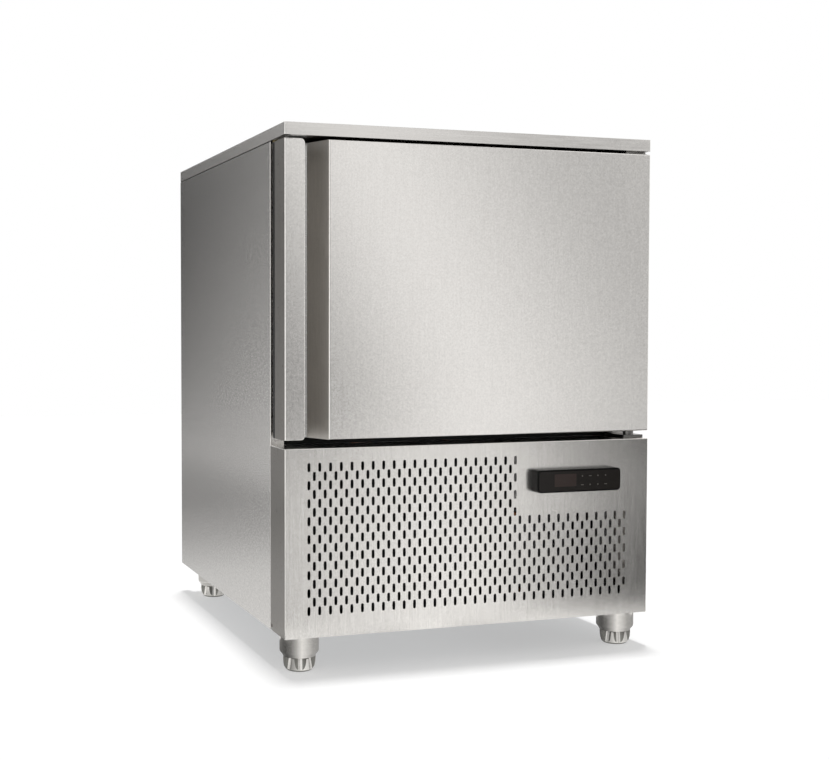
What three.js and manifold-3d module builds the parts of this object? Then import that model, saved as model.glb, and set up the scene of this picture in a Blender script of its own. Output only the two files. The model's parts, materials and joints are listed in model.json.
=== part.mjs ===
// Under-counter blast chiller: a stainless cabinet on four levelling legs, with an insulated
// chamber for five trays behind one full-width door, and a condensing unit behind a
// perforated front panel. Millimetres, +Z up, the front towards -Y.
//
// Inside this file y = 0 is the plane of the door's front face and z = 0 is the floor. The
// finished group is moved so that its origin is the bottom centre of the whole object.

import * as THREE from 'three';
import { mergeGeometries, mergeVertices } from 'three/addons/utils/BufferGeometryUtils.js';
import Module from 'manifold-3d';

// ---------------------------------------------------------------- driving dimensions

// Cabinet, from the floor up
const WIDTH = 800;
const DEPTH = 880; // from the door's front face to the back
const LEG_HEIGHT = 72;
const VENT_PANEL_HEIGHT = 368;
const DOOR_GAP_BELOW = 16;
const DOOR_HEIGHT = 577;
const DOOR_GAP_ABOVE = 6;
const WORKTOP_THICKNESS = 24;
const WORKTOP_RETURN = 15; // inward fold under the worktop's edge
const SHEET = 1.2; // stainless sheet of every folded panel
const FIT = 0.3; // gap between neighbouring pieces
const SIDE_FLANGE = 28; // front fold of a side panel
const REAR_FLANGE = 20;
const BASE_LIP = 30; // upturned edge of the base pan
const BASE_SETBACK = 24; // base pan's front edge behind the vent panel's face

// Insulated chamber
const SIDE_INSULATION = 65;
const ROOF_INSULATION = 65;
const FLOOR_INSULATION = 58;
const REAR_INSULATION = 60;
const CHAMBER_CORNER = 20; // coved corners, easy to wipe
const EVAPORATOR_SPACE = 259; // behind the fan baffle
const PIPE_PORT = 21; // radius of the pipe opening in the chamber floor

// Tray racks
const RACK_STANDOFF = 32; // chamber wall to the posts' faces, which guide a tray and stand 606 mm apart
const TRAY_GRIP = 10; // width of ledge under each edge of a tray
const TRAY_PLAY = 3; // on each side of a 600 mm tray
const TRAY_PITCH = 75;
const FIRST_TRAY = 60; // lowest ledge above the chamber floor
const RACK_SETBACK = 45; // from the body's front to the ledges
const RACK_BAFFLE_GAP = 20;
const LEDGE_THICKNESS = 2;
const LEDGE_SEAT = 2; // how far a ledge is let into its posts
const POST_WIDTH = 30;
const POST_FOOT = 9; // below the lowest ledge
const POST_HEAD = 15; // above the highest one
const POST_INSET = 40; // from a ledge's end to its post

// Door
const DOOR_THICKNESS = 77;
const GASKET_THICKNESS = 19;
const GASKET_WIDTH = 14;
const GASKET_SIDE_INSET = 32;
const GASKET_END_INSET = 12;
const GASKET_DART = 7; // width of the rib that snaps into the liner
const GASKET_DART_DEPTH = 5.5;
const LINER_THICKNESS = 12;
const LINER_FIELD_INSET = 26; // raised field inside the gasket
const LINER_FIELD_HEIGHT = 9;
const HANDLE_WIDTH = 41.5;
const HANDLE_LIP = 20; // thickness of the gripped lip
const HANDLE_WALL = 18;
const HANDLE_CORNER = 8;
const HANDLE_EDGE = 3; // small radius of the folded edges
const GROOVE_MOUTH = 48.5; // handle lip to door face, at the front
const GROOVE_SLANT = 24; // how far the groove's wall leans back under the face
const DOOR_EDGE = 3;

// Hinges, on the right
const HINGE_INSET = 24;
const HINGE_SETBACK = 38;
const HINGE_PLATE_WIDTH = 46;
const HINGE_PLATE_FRONT = 18; // plate's front edge behind the door's face
const LOWER_PLATE = 6;
const UPPER_PLATE = 4.5;
const PIN_RADIUS = 7;
const PIN_LENGTH = 20;
const COLLAR_RADIUS = 11;
const BUSH_RADIUS = 12;
const BUSH_BORE = 7.6;
const BUSH_LENGTH = 24;

// Perforated front panel: one staggered lattice of upright slots, blank round the controller
const SLOT_WIDTH = 5;
const SLOT_LENGTH = 17;
const COLUMN_STEP = 11.05;
const ROW_STEP = 34.9;
const SLOTS_LEFT_MARGIN = 48.5;
const SLOTS_RIGHT_MARGIN = 54;
const SLOTS_TOP_MARGIN = 36.7;
const SLOTS_BOTTOM_MARGIN = 50;
const BLANK_BESIDE_CONTROLLER = 32;
const BLANK_UNDER_CONTROLLER = 46;
const VENT_PANEL_RETURN = 18; // lower fold of the panel
const NOTCH_LENGTH = 12;
const NOTCH_HEIGHT = 5;

// Controller
const CONTROLLER_WIDTH = 192;
const CONTROLLER_HEIGHT = 47;
const CONTROLLER_DEPTH = 26;
const CONTROLLER_CORNER = 5;
const CONTROLLER_RIGHT_MARGIN = 80;
const CONTROLLER_TOP_MARGIN = 56.5;
const MODULE_INSET = 8; // body behind the panel, smaller all round than the bezel
const MODULE_DEPTH = 32;
const LENS_INSET = 3;
const LENS_THICKNESS = 1.5;
const LENS_CORNER = 3;

// Legs
const LEG_SIDES = 12; // facets round a leg, its bore and its foot's stem
const LEG_RADIUS = 42;
const LEG_TAPER_RADIUS = 36;
const LEG_STRAIGHT = 30;
const LEG_TAPER = 14;
const FRONT_LEG_INSET = 45;
const FRONT_LEG_SETBACK = 50;
const REAR_LEG_INSET = 62;
const REAR_LEG_SETBACK = 85;
const FOOT_RADIUS = 34;
const FOOT_SOLE_RADIUS = 22;
const FOOT_COLLAR = 3; // plain band above the flutes
const FOOT_GAP = 2.5;
const FLUTES = 7;
const FLUTE_DEPTH = 4;
const STEM_RADIUS = 8;
const STEM_LENGTH = 38;

// Fans
const EVAPORATOR_FAN_RADIUS = 146;
const EVAPORATOR_HUB_RADIUS = 38;
const EVAPORATOR_MOTOR_RADIUS = 42;
const EVAPORATOR_MOTOR_LENGTH = 48;
const CONDENSER_FAN_RADIUS = 146;
const CONDENSER_HUB_RADIUS = 40;
const CONDENSER_MOTOR_RADIUS = 46;
const CONDENSER_MOTOR_LENGTH = 62;
const FAN_DEPTH = 26;
const FAN_TIP_GAP = 8;
const FAN_BLADES = 5;
const BLADE_THICKNESS = 2.4;
const BLADE_PITCH = 28; // degrees
const MOTOR_GAP = 9; // fan hub to motor
const SHAFT_RADIUS = 5;
const ARM_WIDTH = 12;
const ARM_THICKNESS = 3;
const GUARD_WIRE = 3.5;
const GUARD_DEPTH = 11;
const GUARD_DISC = 0.32; // middle disc against the fan's radius

// Evaporator
const EVAPORATOR_WIDTH = 520;
const EVAPORATOR_DEPTH = 96;
const EVAPORATOR_WALL_GAP = 48; // coil to the chamber's rear wall
const EVAPORATOR_HEADROOM = 38;
const TRAY_RIM = 24; // drip tray's wall height
const TRAY_MARGIN = 14; // drip tray beyond the coil
const FIN_STEP = 40;
const FIN_DEPTH = 14;
const END_PLATE = 3;
const DRAIN_RADIUS = 11;
const DRAIN_WALL = 2;
const DRAIN_BELOW_BASE = 14;
const DRAIN_OFFSET = 84; // from the drip tray's left end
const PORT_OFFSET = 190; // refrigerant pipes' opening, from the middle

// Condensing unit
const CONDENSER_WIDTH = 440;
const CONDENSER_HEADROOM = 25.3; // under the vent panel's top fold
const CONDENSER_DEPTH = 56;
const CONDENSER_SETBACK = 4; // behind the controller's body
const CONDENSER_SIDE_GAP = 66;
const SHROUD_DEPTH = 46;
const COMPRESSOR_RADIUS = 104;
const COMPRESSOR_HEIGHT = 262;
const COMPRESSOR_SETBACK = 470;
const COMPRESSOR_SIDE_GAP = 270; // from the left side to its axis
const COMPRESSOR_OVAL = 1.14; // side to side against front to back
const GROMMET_HEIGHT = 18;
const GROMMET_RADIUS = 14;
const FOOTPLATE = 4;
const RECEIVER_RADIUS = 48;
const RECEIVER_HEIGHT = 150;
const RECEIVER_FROM_COMPRESSOR = 230;
const DRIER_RADIUS = 22;
const DRIER_LENGTH = 120;
const PIPE_RADIUS = 6;
const SUCTION_RADIUS = 9;
const PIPE_BEND = 34;
const BEND_STEPS = 2;
const STUB_LENGTH = 12;

// Electrical box and cable inlet
const BOX_WIDTH = 170;
const BOX_DEPTH = 110;
const BOX_HEIGHT = 200;
const BOX_SIDE_GAP = 34;
const BOX_SETBACK = 12; // behind the condensate pipe
const GLAND_RADIUS = 13;
const GLAND_INSET = 90;
const GLAND_HEIGHT = 70; // above the base
const LOUVRE_LENGTH = 250;
const LOUVRE_WIDTH = 8;
const LOUVRE_STEP = 36;
const LOUVRE_ROWS = 5;
const REAR_COVER_RECESS = 22; // keeps the gland inside the cabinet's depth

// Core temperature probe
const PROBE_SETBACK = 22; // from the body's front
const PROBE_HEIGHT = 190; // above the chamber floor
const PROBE_RADIUS = 7;
const PROBE_GRIP = 70;
const NEEDLE_RADIUS = 2.2;
const NEEDLE_LENGTH = 105;
const HOLDER_SIZE = 24;
const HOLDER_HEIGHT = 30;

// ---------------------------------------------------------------- levels and places

const halfWidth = WIDTH / 2;
const ventTopZ = LEG_HEIGHT + VENT_PANEL_HEIGHT;
const doorBottomZ = ventTopZ + DOOR_GAP_BELOW;
const doorTopZ = doorBottomZ + DOOR_HEIGHT;
const worktopUnderZ = doorTopZ + DOOR_GAP_ABOVE;
const topZ = worktopUnderZ + WORKTOP_THICKNESS;
const bodyY = DOOR_THICKNESS + GASKET_THICKNESS;
const baseTopZ = LEG_HEIGHT + SHEET;
const floorZ = baseTopZ + FIT; // what stands on the base pan starts here
const chamberFloorZ = doorBottomZ + FLOOR_INSULATION;
const chamberTopZ = worktopUnderZ - ROOF_INSULATION;
const chamberHalfWidth = halfWidth - SIDE_INSULATION;
const chamberBackY = DEPTH - REAR_INSULATION;
const chamberMiddleZ = (chamberFloorZ + chamberTopZ) / 2;
const linerFrontY = bodyY + SHEET + FIT;
const insideX = halfWidth - SHEET - FIT; // inner reach between the side panels
const backPanelY = DEPTH - 2 * SHEET - FIT;
const baffleY = chamberBackY - EVAPORATOR_SPACE;
const hingeX = halfWidth - HINGE_INSET;
const controllerX = halfWidth - CONTROLLER_RIGHT_MARGIN - CONTROLLER_WIDTH / 2;
const controllerZ = ventTopZ - CONTROLLER_TOP_MARGIN - CONTROLLER_HEIGHT / 2;
const evaporatorY = chamberBackY - EVAPORATOR_WALL_GAP - EVAPORATOR_DEPTH;
const dripTrayHalf = EVAPORATOR_WIDTH / 2 + TRAY_MARGIN;
const drainX = DRAIN_OFFSET - dripTrayHalf;
const drainY = evaporatorY + EVAPORATOR_DEPTH / 2;
const condenserX = -halfWidth + CONDENSER_SIDE_GAP + CONDENSER_WIDTH / 2;
const condenserHeight = ventTopZ - SHEET - CONDENSER_HEADROOM - floorZ;
const condenserZ = floorZ + condenserHeight / 2;
const condenserY = MODULE_DEPTH + CONDENSER_SETBACK;
const shroudY = condenserY + CONDENSER_DEPTH + FIT;
const shroudBackY = shroudY + SHROUD_DEPTH;
const pipeRiseY = shroudBackY + 3 * PIPE_BEND;
const boxY = pipeRiseY + PIPE_RADIUS + BOX_SETBACK;
const compressorX = -halfWidth + COMPRESSOR_SIDE_GAP;
const footplateZ = floorZ + GROMMET_HEIGHT;
const shellZ = footplateZ + FOOTPLATE;
const receiverX = compressorX + RECEIVER_FROM_COMPRESSOR;
const rearCoverY = DEPTH - REAR_COVER_RECESS;

// ---------------------------------------------------------------- materials

const steel = (color, roughness) => new THREE.MeshStandardMaterial({ color, roughness, metalness: 0.9 });
const matt = (color, roughness) => new THREE.MeshStandardMaterial({ color, roughness, metalness: 0 });
const finish = {
  satinSteel: steel('#b9b7b3', 0.38),
  darkSteel: steel('#8d8b87', 0.42),
  chamberSteel: steel('#c4c3c0', 0.3),
  galvanised: steel('#a4a8aa', 0.5),
  aluminium: steel('#c9cccd', 0.35),
  copper: steel('#b4703f', 0.35),
  foam: matt('#e2d3a1', 0.9),
  board: matt('#a98c62', 0.85),
  rubber: matt('#1c1c1d', 0.7),
  nylon: matt('#e6e4dd', 0.5),
  blackPlastic: matt('#121214', 0.25),
  blackLacquer: matt('#1a1b1d', 0.45),
  lens: matt('#0a0709', 0.06),
  greyPlastic: matt('#55585b', 0.5),
};

// ---------------------------------------------------------------- shape helpers

const wasm = await Module();
wasm.setup();

function solid(geometry) {
  const bare = geometry.clone();
  for (const name of Object.keys(bare.attributes)) if (name !== 'position') bare.deleteAttribute(name);
  const merged = mergeVertices(bare, 1e-4);
  return new wasm.Manifold(
    new wasm.Mesh({
      numProp: 3,
      vertProperties: new Float32Array(merged.attributes.position.array),
      triVerts: new Uint32Array(merged.index.array),
    }),
  );
}

function surface(manifold) {
  const mesh = manifold.getMesh();
  const geometry = new THREE.BufferGeometry();
  geometry.setAttribute('position', new THREE.BufferAttribute(new Float32Array(mesh.vertProperties), 3));
  geometry.setIndex(new THREE.BufferAttribute(new Uint32Array(mesh.triVerts), 1));
  return geometry;
}

const join = (first, ...rest) => surface(rest.reduce((sum, g) => sum.add(solid(g)), solid(first)));
const cut = (first, ...tools) => surface(tools.reduce((left, g) => left.subtract(solid(g)), solid(first)));

// Exact quarter turns: y up becomes z up, and an outline drawn in x and y moves to y and z.
const STAND_UP = new THREE.Matrix4().set(1, 0, 0, 0, 0, 0, -1, 0, 0, 1, 0, 0, 0, 0, 0, 1);
const TO_SIDE = new THREE.Matrix4().set(0, 0, 1, 0, 1, 0, 0, 0, 0, 1, 0, 0, 0, 0, 0, 1);

// A block between two corners.
function block([x0, y0, z0], [x1, y1, z1]) {
  return new THREE.BoxGeometry(x1 - x0, y1 - y0, z1 - z0).translate((x0 + x1) / 2, (y0 + y1) / 2, (z0 + z1) / 2);
}

// A block on a middle point: width, depth and height.
function blockAt([x, y, z], [w, d, h]) {
  return new THREE.BoxGeometry(w, d, h).translate(x, y, z);
}

// A plan outline in x and y, drawn up between two heights.
function upright(outline, z0, z1) {
  const shape = new THREE.Shape(outline.map(([x, y]) => new THREE.Vector2(x, y)));
  return new THREE.ExtrudeGeometry(shape, { depth: z1 - z0, bevelEnabled: false }).translate(0, 0, z0);
}

// A front outline in x and z, drawn back between two depths.
function facing(shape, y0, y1, curveSegments = 2) {
  const depth = y1 - y0;
  const drawn = new THREE.ExtrudeGeometry(shape, { depth, bevelEnabled: false, curveSegments });
  return drawn.applyMatrix4(STAND_UP).translate(0, y1, 0);
}

// A side outline in y and z, drawn across between two x.
function across(outline, x0, x1) {
  const shape = new THREE.Shape(outline.map(([y, z]) => new THREE.Vector2(y, z)));
  const drawn = new THREE.ExtrudeGeometry(shape, { depth: x1 - x0, bevelEnabled: false });
  return drawn.applyMatrix4(TO_SIDE).translate(x0, 0, 0);
}

function roundedRectangle(x0, z0, x1, z1, radius) {
  const shape = new THREE.Shape();
  shape.moveTo(x0 + radius, z0);
  shape.lineTo(x1 - radius, z0);
  shape.absarc(x1 - radius, z0 + radius, radius, -Math.PI / 2, 0);
  shape.lineTo(x1, z1 - radius);
  shape.absarc(x1 - radius, z1 - radius, radius, 0, Math.PI / 2);
  shape.lineTo(x0 + radius, z1);
  shape.absarc(x0 + radius, z1 - radius, radius, Math.PI / 2, Math.PI);
  shape.lineTo(x0, z0 + radius);
  shape.absarc(x0 + radius, z0 + radius, radius, Math.PI, 1.5 * Math.PI);
  return shape;
}

// A round bar from one height or depth to another.
function barZ(x, y, z0, z1, radius, sides = 12) {
  const bar = new THREE.CylinderGeometry(radius, radius, z1 - z0, sides);
  return bar.applyMatrix4(STAND_UP).translate(x, y, (z0 + z1) / 2);
}

function barY(x, z, y0, y1, radius, sides = 12) {
  return new THREE.CylinderGeometry(radius, radius, y1 - y0, sides).translate(x, (y0 + y1) / 2, z);
}

// A turned piece about the z axis, from [radius, height] points.
function turned(profile, sides) {
  return new THREE.LatheGeometry(profile.map(([r, z]) => new THREE.Vector2(r, z)), sides).applyMatrix4(STAND_UP);
}

// A ring with a bore, turned about z.
const sleeve = (bore, radius, z0, z1, sides) =>
  turned([[bore, z0], [radius, z0], [radius, z1], [bore, z1], [bore, z0]], sides);

// A route through listed points, stepped from one to the next so that straight runs stay single.
class SteppedPath extends THREE.Curve {
  constructor(points) {
    super();
    this.points = points;
  }

  getPoint(t, target = new THREE.Vector3()) {
    return target.copy(this.points[Math.round(t * (this.points.length - 1))]);
  }

  getPointAt(u, target) {
    return this.getPoint(u, target);
  }

  getTangentAt(u, target = new THREE.Vector3()) {
    const i = Math.round(u * (this.points.length - 1));
    const [before, after] = [this.points[Math.max(i - 1, 0)], this.points[Math.min(i + 1, this.points.length - 1)]];
    return target.copy(after).sub(before).normalize();
  }
}

// A pipe through corner points, with its corners rounded to one bend radius.
function pipe(corners, radius, bend = PIPE_BEND, sides = 6) {
  const points = corners.map((p) => new THREE.Vector3(...p));
  const route = [points[0]];
  for (let i = 1; i < points.length - 1; i++) {
    const before = points[i].clone().sub(points[i - 1]).normalize();
    const after = points[i + 1].clone().sub(points[i]).normalize();
    const enter = points[i].clone().addScaledVector(before, -bend);
    const leave = points[i].clone().addScaledVector(after, bend);
    route.push(...new THREE.QuadraticBezierCurve3(enter, points[i], leave).getPoints(BEND_STEPS));
  }
  route.push(points[points.length - 1]);
  const section = new THREE.Shape();
  for (let i = 0; i < sides; i++) {
    const a = (i / sides) * 2 * Math.PI;
    const [x, y] = [radius * Math.cos(a), radius * Math.sin(a)];
    if (i === 0) section.moveTo(x, y);
    else section.lineTo(x, y);
  }
  return new THREE.ExtrudeGeometry(section, {
    steps: route.length - 1, extrudePath: new SteppedPath(route), bevelEnabled: false,
  });
}

// ---------------------------------------------------------------- the tree of pieces

const chiller = new THREE.Group();
chiller.position.y = (CONTROLLER_DEPTH - DEPTH) / 2;

function assembly(x = 0, y = 0, z = 0) {
  const group = new THREE.Group();
  group.position.set(x, y, z);
  chiller.add(group);
  return group;
}

function piece(group, name, geometry, material) {
  const mesh = new THREE.Mesh(geometry, material);
  mesh.name = name;
  group.add(mesh);
  return mesh;
}

// ---------------------------------------------------------------- cabinet shell

const shell = assembly();

function worktop() {
  const pan = block([-halfWidth, 0, worktopUnderZ], [halfWidth, DEPTH, topZ]);
  const hollow = block(
    [-halfWidth + SHEET, SHEET, worktopUnderZ + SHEET],
    [halfWidth - SHEET, DEPTH - SHEET, topZ - SHEET],
  );
  const mouth = block(
    [-halfWidth + WORKTOP_RETURN, WORKTOP_RETURN, worktopUnderZ - 1],
    [halfWidth - WORKTOP_RETURN, DEPTH - WORKTOP_RETURN, worktopUnderZ + 2 * SHEET],
  );
  return cut(pan, hollow, mouth);
}

function worktopCore() {
  const gap = SHEET + FIT;
  return block(
    [-halfWidth + gap, gap, worktopUnderZ + gap],
    [halfWidth - gap, DEPTH - gap, topZ - gap],
  );
}

// A C section: a full-height side with a fold at the front and one at the back. The front fold
// stops above the base pan, which runs on forwards.
function sidePanel(side) {
  const out = side * halfWidth;
  const inner = side * (halfWidth - SHEET);
  const front = side * (halfWidth - SIDE_FLANGE);
  const rear = side * (halfWidth - REAR_FLANGE);
  const outline = [
    [out, bodyY], [front, bodyY], [front, bodyY + SHEET], [inner, bodyY + SHEET],
    [inner, DEPTH - SHEET], [rear, DEPTH - SHEET], [rear, DEPTH], [out, DEPTH],
  ];
  const panel = upright(outline, LEG_HEIGHT, worktopUnderZ - FIT);
  const basePassage = block(
    [Math.min(front, inner) - FIT, bodyY - 1, LEG_HEIGHT - 1],
    [Math.max(front, inner) + FIT, bodyY + SHEET + 1, LEG_HEIGHT + BASE_LIP + FIT],
  );
  return cut(panel, basePassage);
}

function backPanel() {
  return block([-insideX, backPanelY, doorBottomZ - SHEET - FIT], [insideX, backPanelY + SHEET, worktopUnderZ - FIT]);
}

// The lower back: a tray-shaped cover, set in between the side panels, with two banks of slots.
function rearVentCover() {
  const topEdge = doorBottomZ - 2 * (SHEET + FIT);
  const half = halfWidth - REAR_FLANGE - FIT;
  const tray = block([-half, rearCoverY - SHEET, floorZ], [half, DEPTH - SHEET, topEdge]);
  const hollow = block([-half + SHEET, rearCoverY, floorZ - 1], [half - SHEET, DEPTH + 1, topEdge - SHEET]);
  const slots = [];
  for (let row = 0; row < LOUVRE_ROWS; row++) {
    for (const side of [-1, 1]) {
      const z = topEdge - 3 * LOUVRE_STEP - row * LOUVRE_STEP;
      const x = side * (LOUVRE_LENGTH / 2 + LOUVRE_STEP);
      slots.push(blockAt([x, rearCoverY, z], [LOUVRE_LENGTH, 4 * SHEET, LOUVRE_WIDTH]));
    }
  }
  const inlet = barY(-halfWidth + GLAND_INSET, LEG_HEIGHT + GLAND_HEIGHT, rearCoverY - 3, rearCoverY + 2, GLAND_RADIUS + 4 * FIT);
  return cut(tray, hollow, mergeGeometries(slots), inlet);
}

function basePan() {
  const rear = rearCoverY - SHEET - FIT;
  const pan = block([-insideX, BASE_SETBACK, LEG_HEIGHT], [insideX, rear, LEG_HEIGHT + BASE_LIP]);
  const hollow = block(
    [-insideX + SHEET, BASE_SETBACK + SHEET, baseTopZ],
    [insideX - SHEET, rear - SHEET, LEG_HEIGHT + 2 * BASE_LIP],
  );
  const drain = barZ(drainX, drainY, LEG_HEIGHT - 2, baseTopZ + 2, DRAIN_RADIUS + 1);
  return cut(pan, hollow, drain);
}

// Where the slots of the perforated panel lie: [x, z] of each middle.
function slotCentres() {
  const firstX = -halfWidth + SLOTS_LEFT_MARGIN;
  const firstZ = ventTopZ - SLOTS_TOP_MARGIN;
  const columns = Math.floor((WIDTH - SLOTS_LEFT_MARGIN - SLOTS_RIGHT_MARGIN) / COLUMN_STEP) + 1;
  const rows = Math.floor((VENT_PANEL_HEIGHT - SLOTS_TOP_MARGIN - SLOTS_BOTTOM_MARGIN) / ROW_STEP) + 1;
  const blankX = controllerX - CONTROLLER_WIDTH / 2 - BLANK_BESIDE_CONTROLLER;
  const blankZ = controllerZ - CONTROLLER_HEIGHT / 2 - BLANK_UNDER_CONTROLLER;
  const centres = [];
  for (let column = 0; column < columns; column++) {
    const shifted = column % 2;
    for (let row = 0; row < rows - shifted; row++) {
      const x = firstX + column * COLUMN_STEP;
      const z = firstZ - (row + shifted / 2) * ROW_STEP;
      if (x < blankX || z < blankZ) centres.push([x, z]);
    }
  }
  return centres;
}

// The perforated pan: its face with every slot, its side and top folds back to the body, and a
// short fold below. The controller's body passes through a rectangular cut-out.
function ventPanel() {
  const back = bodyY - FIT;
  const pan = block([-halfWidth, 0, LEG_HEIGHT], [halfWidth, back, ventTopZ]);
  const inner = halfWidth - SHEET;
  const hollow = block([-inner, SHEET, LEG_HEIGHT + SHEET], [inner, back + 1, ventTopZ - SHEET]);
  const under = block([-inner, VENT_PANEL_RETURN, LEG_HEIGHT - 1], [inner, back + 1, LEG_HEIGHT + 2 * SHEET]);
  const notch = across([
    [back - NOTCH_LENGTH, LEG_HEIGHT - 1], [back + 1, LEG_HEIGHT - 1], [back + 1, LEG_HEIGHT + NOTCH_HEIGHT],
    [back - NOTCH_LENGTH / 3, LEG_HEIGHT + NOTCH_HEIGHT],
  ], -halfWidth - 1, halfWidth + 1);
  const slots = slotCentres().map(([x, z]) => blockAt([x, 0, z], [SLOT_WIDTH, 4 * SHEET, SLOT_LENGTH]));
  const [moduleWidth, moduleHeight] = [CONTROLLER_WIDTH - 2 * MODULE_INSET, CONTROLLER_HEIGHT - 2 * MODULE_INSET];
  slots.push(blockAt([controllerX, 0, controllerZ], [moduleWidth, 4 * SHEET, moduleHeight]));
  return cut(pan, hollow, under, notch, mergeGeometries(slots));
}

// The face round the chamber's mouth, where the door's gasket lands.
function frontFrame() {
  const half = halfWidth - SIDE_FLANGE - FIT;
  const face = new THREE.Shape([
    new THREE.Vector2(-half, ventTopZ + FIT), new THREE.Vector2(half, ventTopZ + FIT),
    new THREE.Vector2(half, worktopUnderZ - FIT), new THREE.Vector2(-half, worktopUnderZ - FIT),
  ]);
  face.holes.push(roundedRectangle(-chamberHalfWidth, chamberFloorZ, chamberHalfWidth, chamberTopZ, CHAMBER_CORNER));
  return facing(face, bodyY, bodyY + SHEET);
}

piece(shell, 'worktop', worktop(), finish.satinSteel);
piece(shell, 'worktop_core', worktopCore(), finish.board);
piece(shell, 'left_side_panel', sidePanel(-1), finish.satinSteel);
piece(shell, 'right_side_panel', sidePanel(1), finish.satinSteel);
piece(shell, 'back_panel', backPanel(), finish.galvanised);
piece(shell, 'rear_vent_cover', rearVentCover(), finish.galvanised);
piece(shell, 'base_pan', basePan(), finish.galvanised);
piece(shell, 'front_vent_panel', ventPanel(), finish.satinSteel);
piece(shell, 'front_frame', frontFrame(), finish.satinSteel);

// ---------------------------------------------------------------- insulated chamber

const chamber = assembly();

// A rounded box, open at the front, grown by a margin beyond the chamber's inner faces.
function chamberBox(margin, y0, y1) {
  const shape = roundedRectangle(
    -chamberHalfWidth - margin, chamberFloorZ - margin,
    chamberHalfWidth + margin, chamberTopZ + margin, CHAMBER_CORNER + margin,
  );
  return facing(shape, y0, y1);
}

const pipePort = (radius, z0, z1) => barZ(PORT_OFFSET, drainY, z0, z1, radius, 8);
const drainPort = (radius, z0, z1) => barZ(drainX, drainY, z0, z1, radius, 8);

function chamberLiner() {
  const outside = chamberBox(SHEET, linerFrontY, chamberBackY + SHEET);
  const inside = chamberBox(0, linerFrontY - 1, chamberBackY);
  const [z0, z1] = [chamberFloorZ - 2 * SHEET, chamberFloorZ + SHEET];
  return cut(outside, inside, pipePort(PIPE_PORT, z0, z1), drainPort(DRAIN_RADIUS + 1, z0, z1));
}

function cabinetInsulation() {
  const foam = block([-insideX, linerFrontY, doorBottomZ], [insideX, backPanelY - FIT, worktopUnderZ - FIT]);
  const pocket = chamberBox(SHEET + FIT, linerFrontY - 1, chamberBackY + SHEET + FIT);
  const [z0, z1] = [doorBottomZ - 2, chamberFloorZ];
  return cut(foam, pocket, pipePort(PIPE_PORT, z0, z1), drainPort(DRAIN_RADIUS + 1, z0, z1));
}

function compartmentCeiling() {
  const z1 = doorBottomZ - FIT;
  const sheet = block([-insideX, linerFrontY, z1 - SHEET], [insideX, backPanelY - FIT, z1]);
  const [z0, z2] = [z1 - 2 * SHEET, z1 + SHEET];
  return cut(sheet, pipePort(PIPE_PORT, z0, z2), drainPort(DRAIN_RADIUS + 1, z0, z2));
}

// One side's tray rack: two closed posts on the wall, and a flat ledge let into them for each tray.
function trayRack(side) {
  const y0 = bodyY + RACK_SETBACK;
  const y1 = baffleY - RACK_BAFFLE_GAP;
  const edge = chamberHalfWidth - RACK_STANDOFF;
  const grip = edge - TRAY_PLAY - TRAY_GRIP;
  const between = (xa, xb, ya, yb, za, zb) => {
    const [near, far] = side > 0 ? [xa, xb] : [-xb, -xa];
    return block([near, ya, za], [far, yb, zb]);
  };
  const levels = Math.floor((chamberTopZ - chamberFloorZ - 2 * FIRST_TRAY) / TRAY_PITCH) + 1;
  const low = chamberFloorZ + FIRST_TRAY;
  const high = low + (levels - 1) * TRAY_PITCH;
  const ledges = [];
  for (let level = 0; level < levels; level++) {
    const z = low + level * TRAY_PITCH;
    ledges.push(between(grip, edge + LEDGE_SEAT, y0, y1, z, z + LEDGE_THICKNESS));
  }
  const posts = [y0 + POST_INSET, y1 - POST_INSET].map((y) => between(
    edge, chamberHalfWidth - FIT, y - POST_WIDTH / 2, y + POST_WIDTH / 2, low - POST_FOOT, high + POST_HEAD,
  ));
  return join(...ledges, ...posts);
}

// The needle probe stands in a clip on the right wall, just inside the mouth.
const probeY = bodyY + PROBE_SETBACK;
const probeX = chamberHalfWidth - HOLDER_SIZE / 2 - FIT;
const probeZ = chamberFloorZ + PROBE_HEIGHT;

function probeHolder() {
  const body = block(
    [chamberHalfWidth - HOLDER_SIZE - FIT, probeY - HOLDER_SIZE / 2, probeZ - HOLDER_HEIGHT],
    [chamberHalfWidth - FIT, probeY + HOLDER_SIZE / 2, probeZ],
  );
  return cut(body, barZ(probeX, probeY, probeZ - 2 * HOLDER_HEIGHT, probeZ + 1, NEEDLE_RADIUS + 3 * FIT, 8));
}

function coreProbe() {
  const profile = [
    [0, probeZ - NEEDLE_LENGTH], [NEEDLE_RADIUS, probeZ - NEEDLE_LENGTH + 3 * NEEDLE_RADIUS],
    [NEEDLE_RADIUS, probeZ + FIT], [PROBE_RADIUS, probeZ + FIT],
    [PROBE_RADIUS, probeZ + PROBE_GRIP - PROBE_RADIUS], [PROBE_RADIUS / 2, probeZ + PROBE_GRIP],
    [0, probeZ + PROBE_GRIP],
  ];
  return turned(profile, 6).translate(probeX, probeY, 0);
}

piece(chamber, 'chamber_liner', chamberLiner(), finish.chamberSteel);
piece(chamber, 'cabinet_insulation', cabinetInsulation(), finish.foam);
piece(chamber, 'compartment_ceiling', compartmentCeiling(), finish.galvanised);
piece(chamber, 'left_tray_rack', trayRack(-1), finish.chamberSteel);
piece(chamber, 'right_tray_rack', trayRack(1), finish.chamberSteel);
piece(chamber, 'probe_holder', probeHolder(), finish.nylon);
piece(chamber, 'core_probe', coreProbe(), finish.darkSteel);

// ---------------------------------------------------------------- fans and their motors

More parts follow.
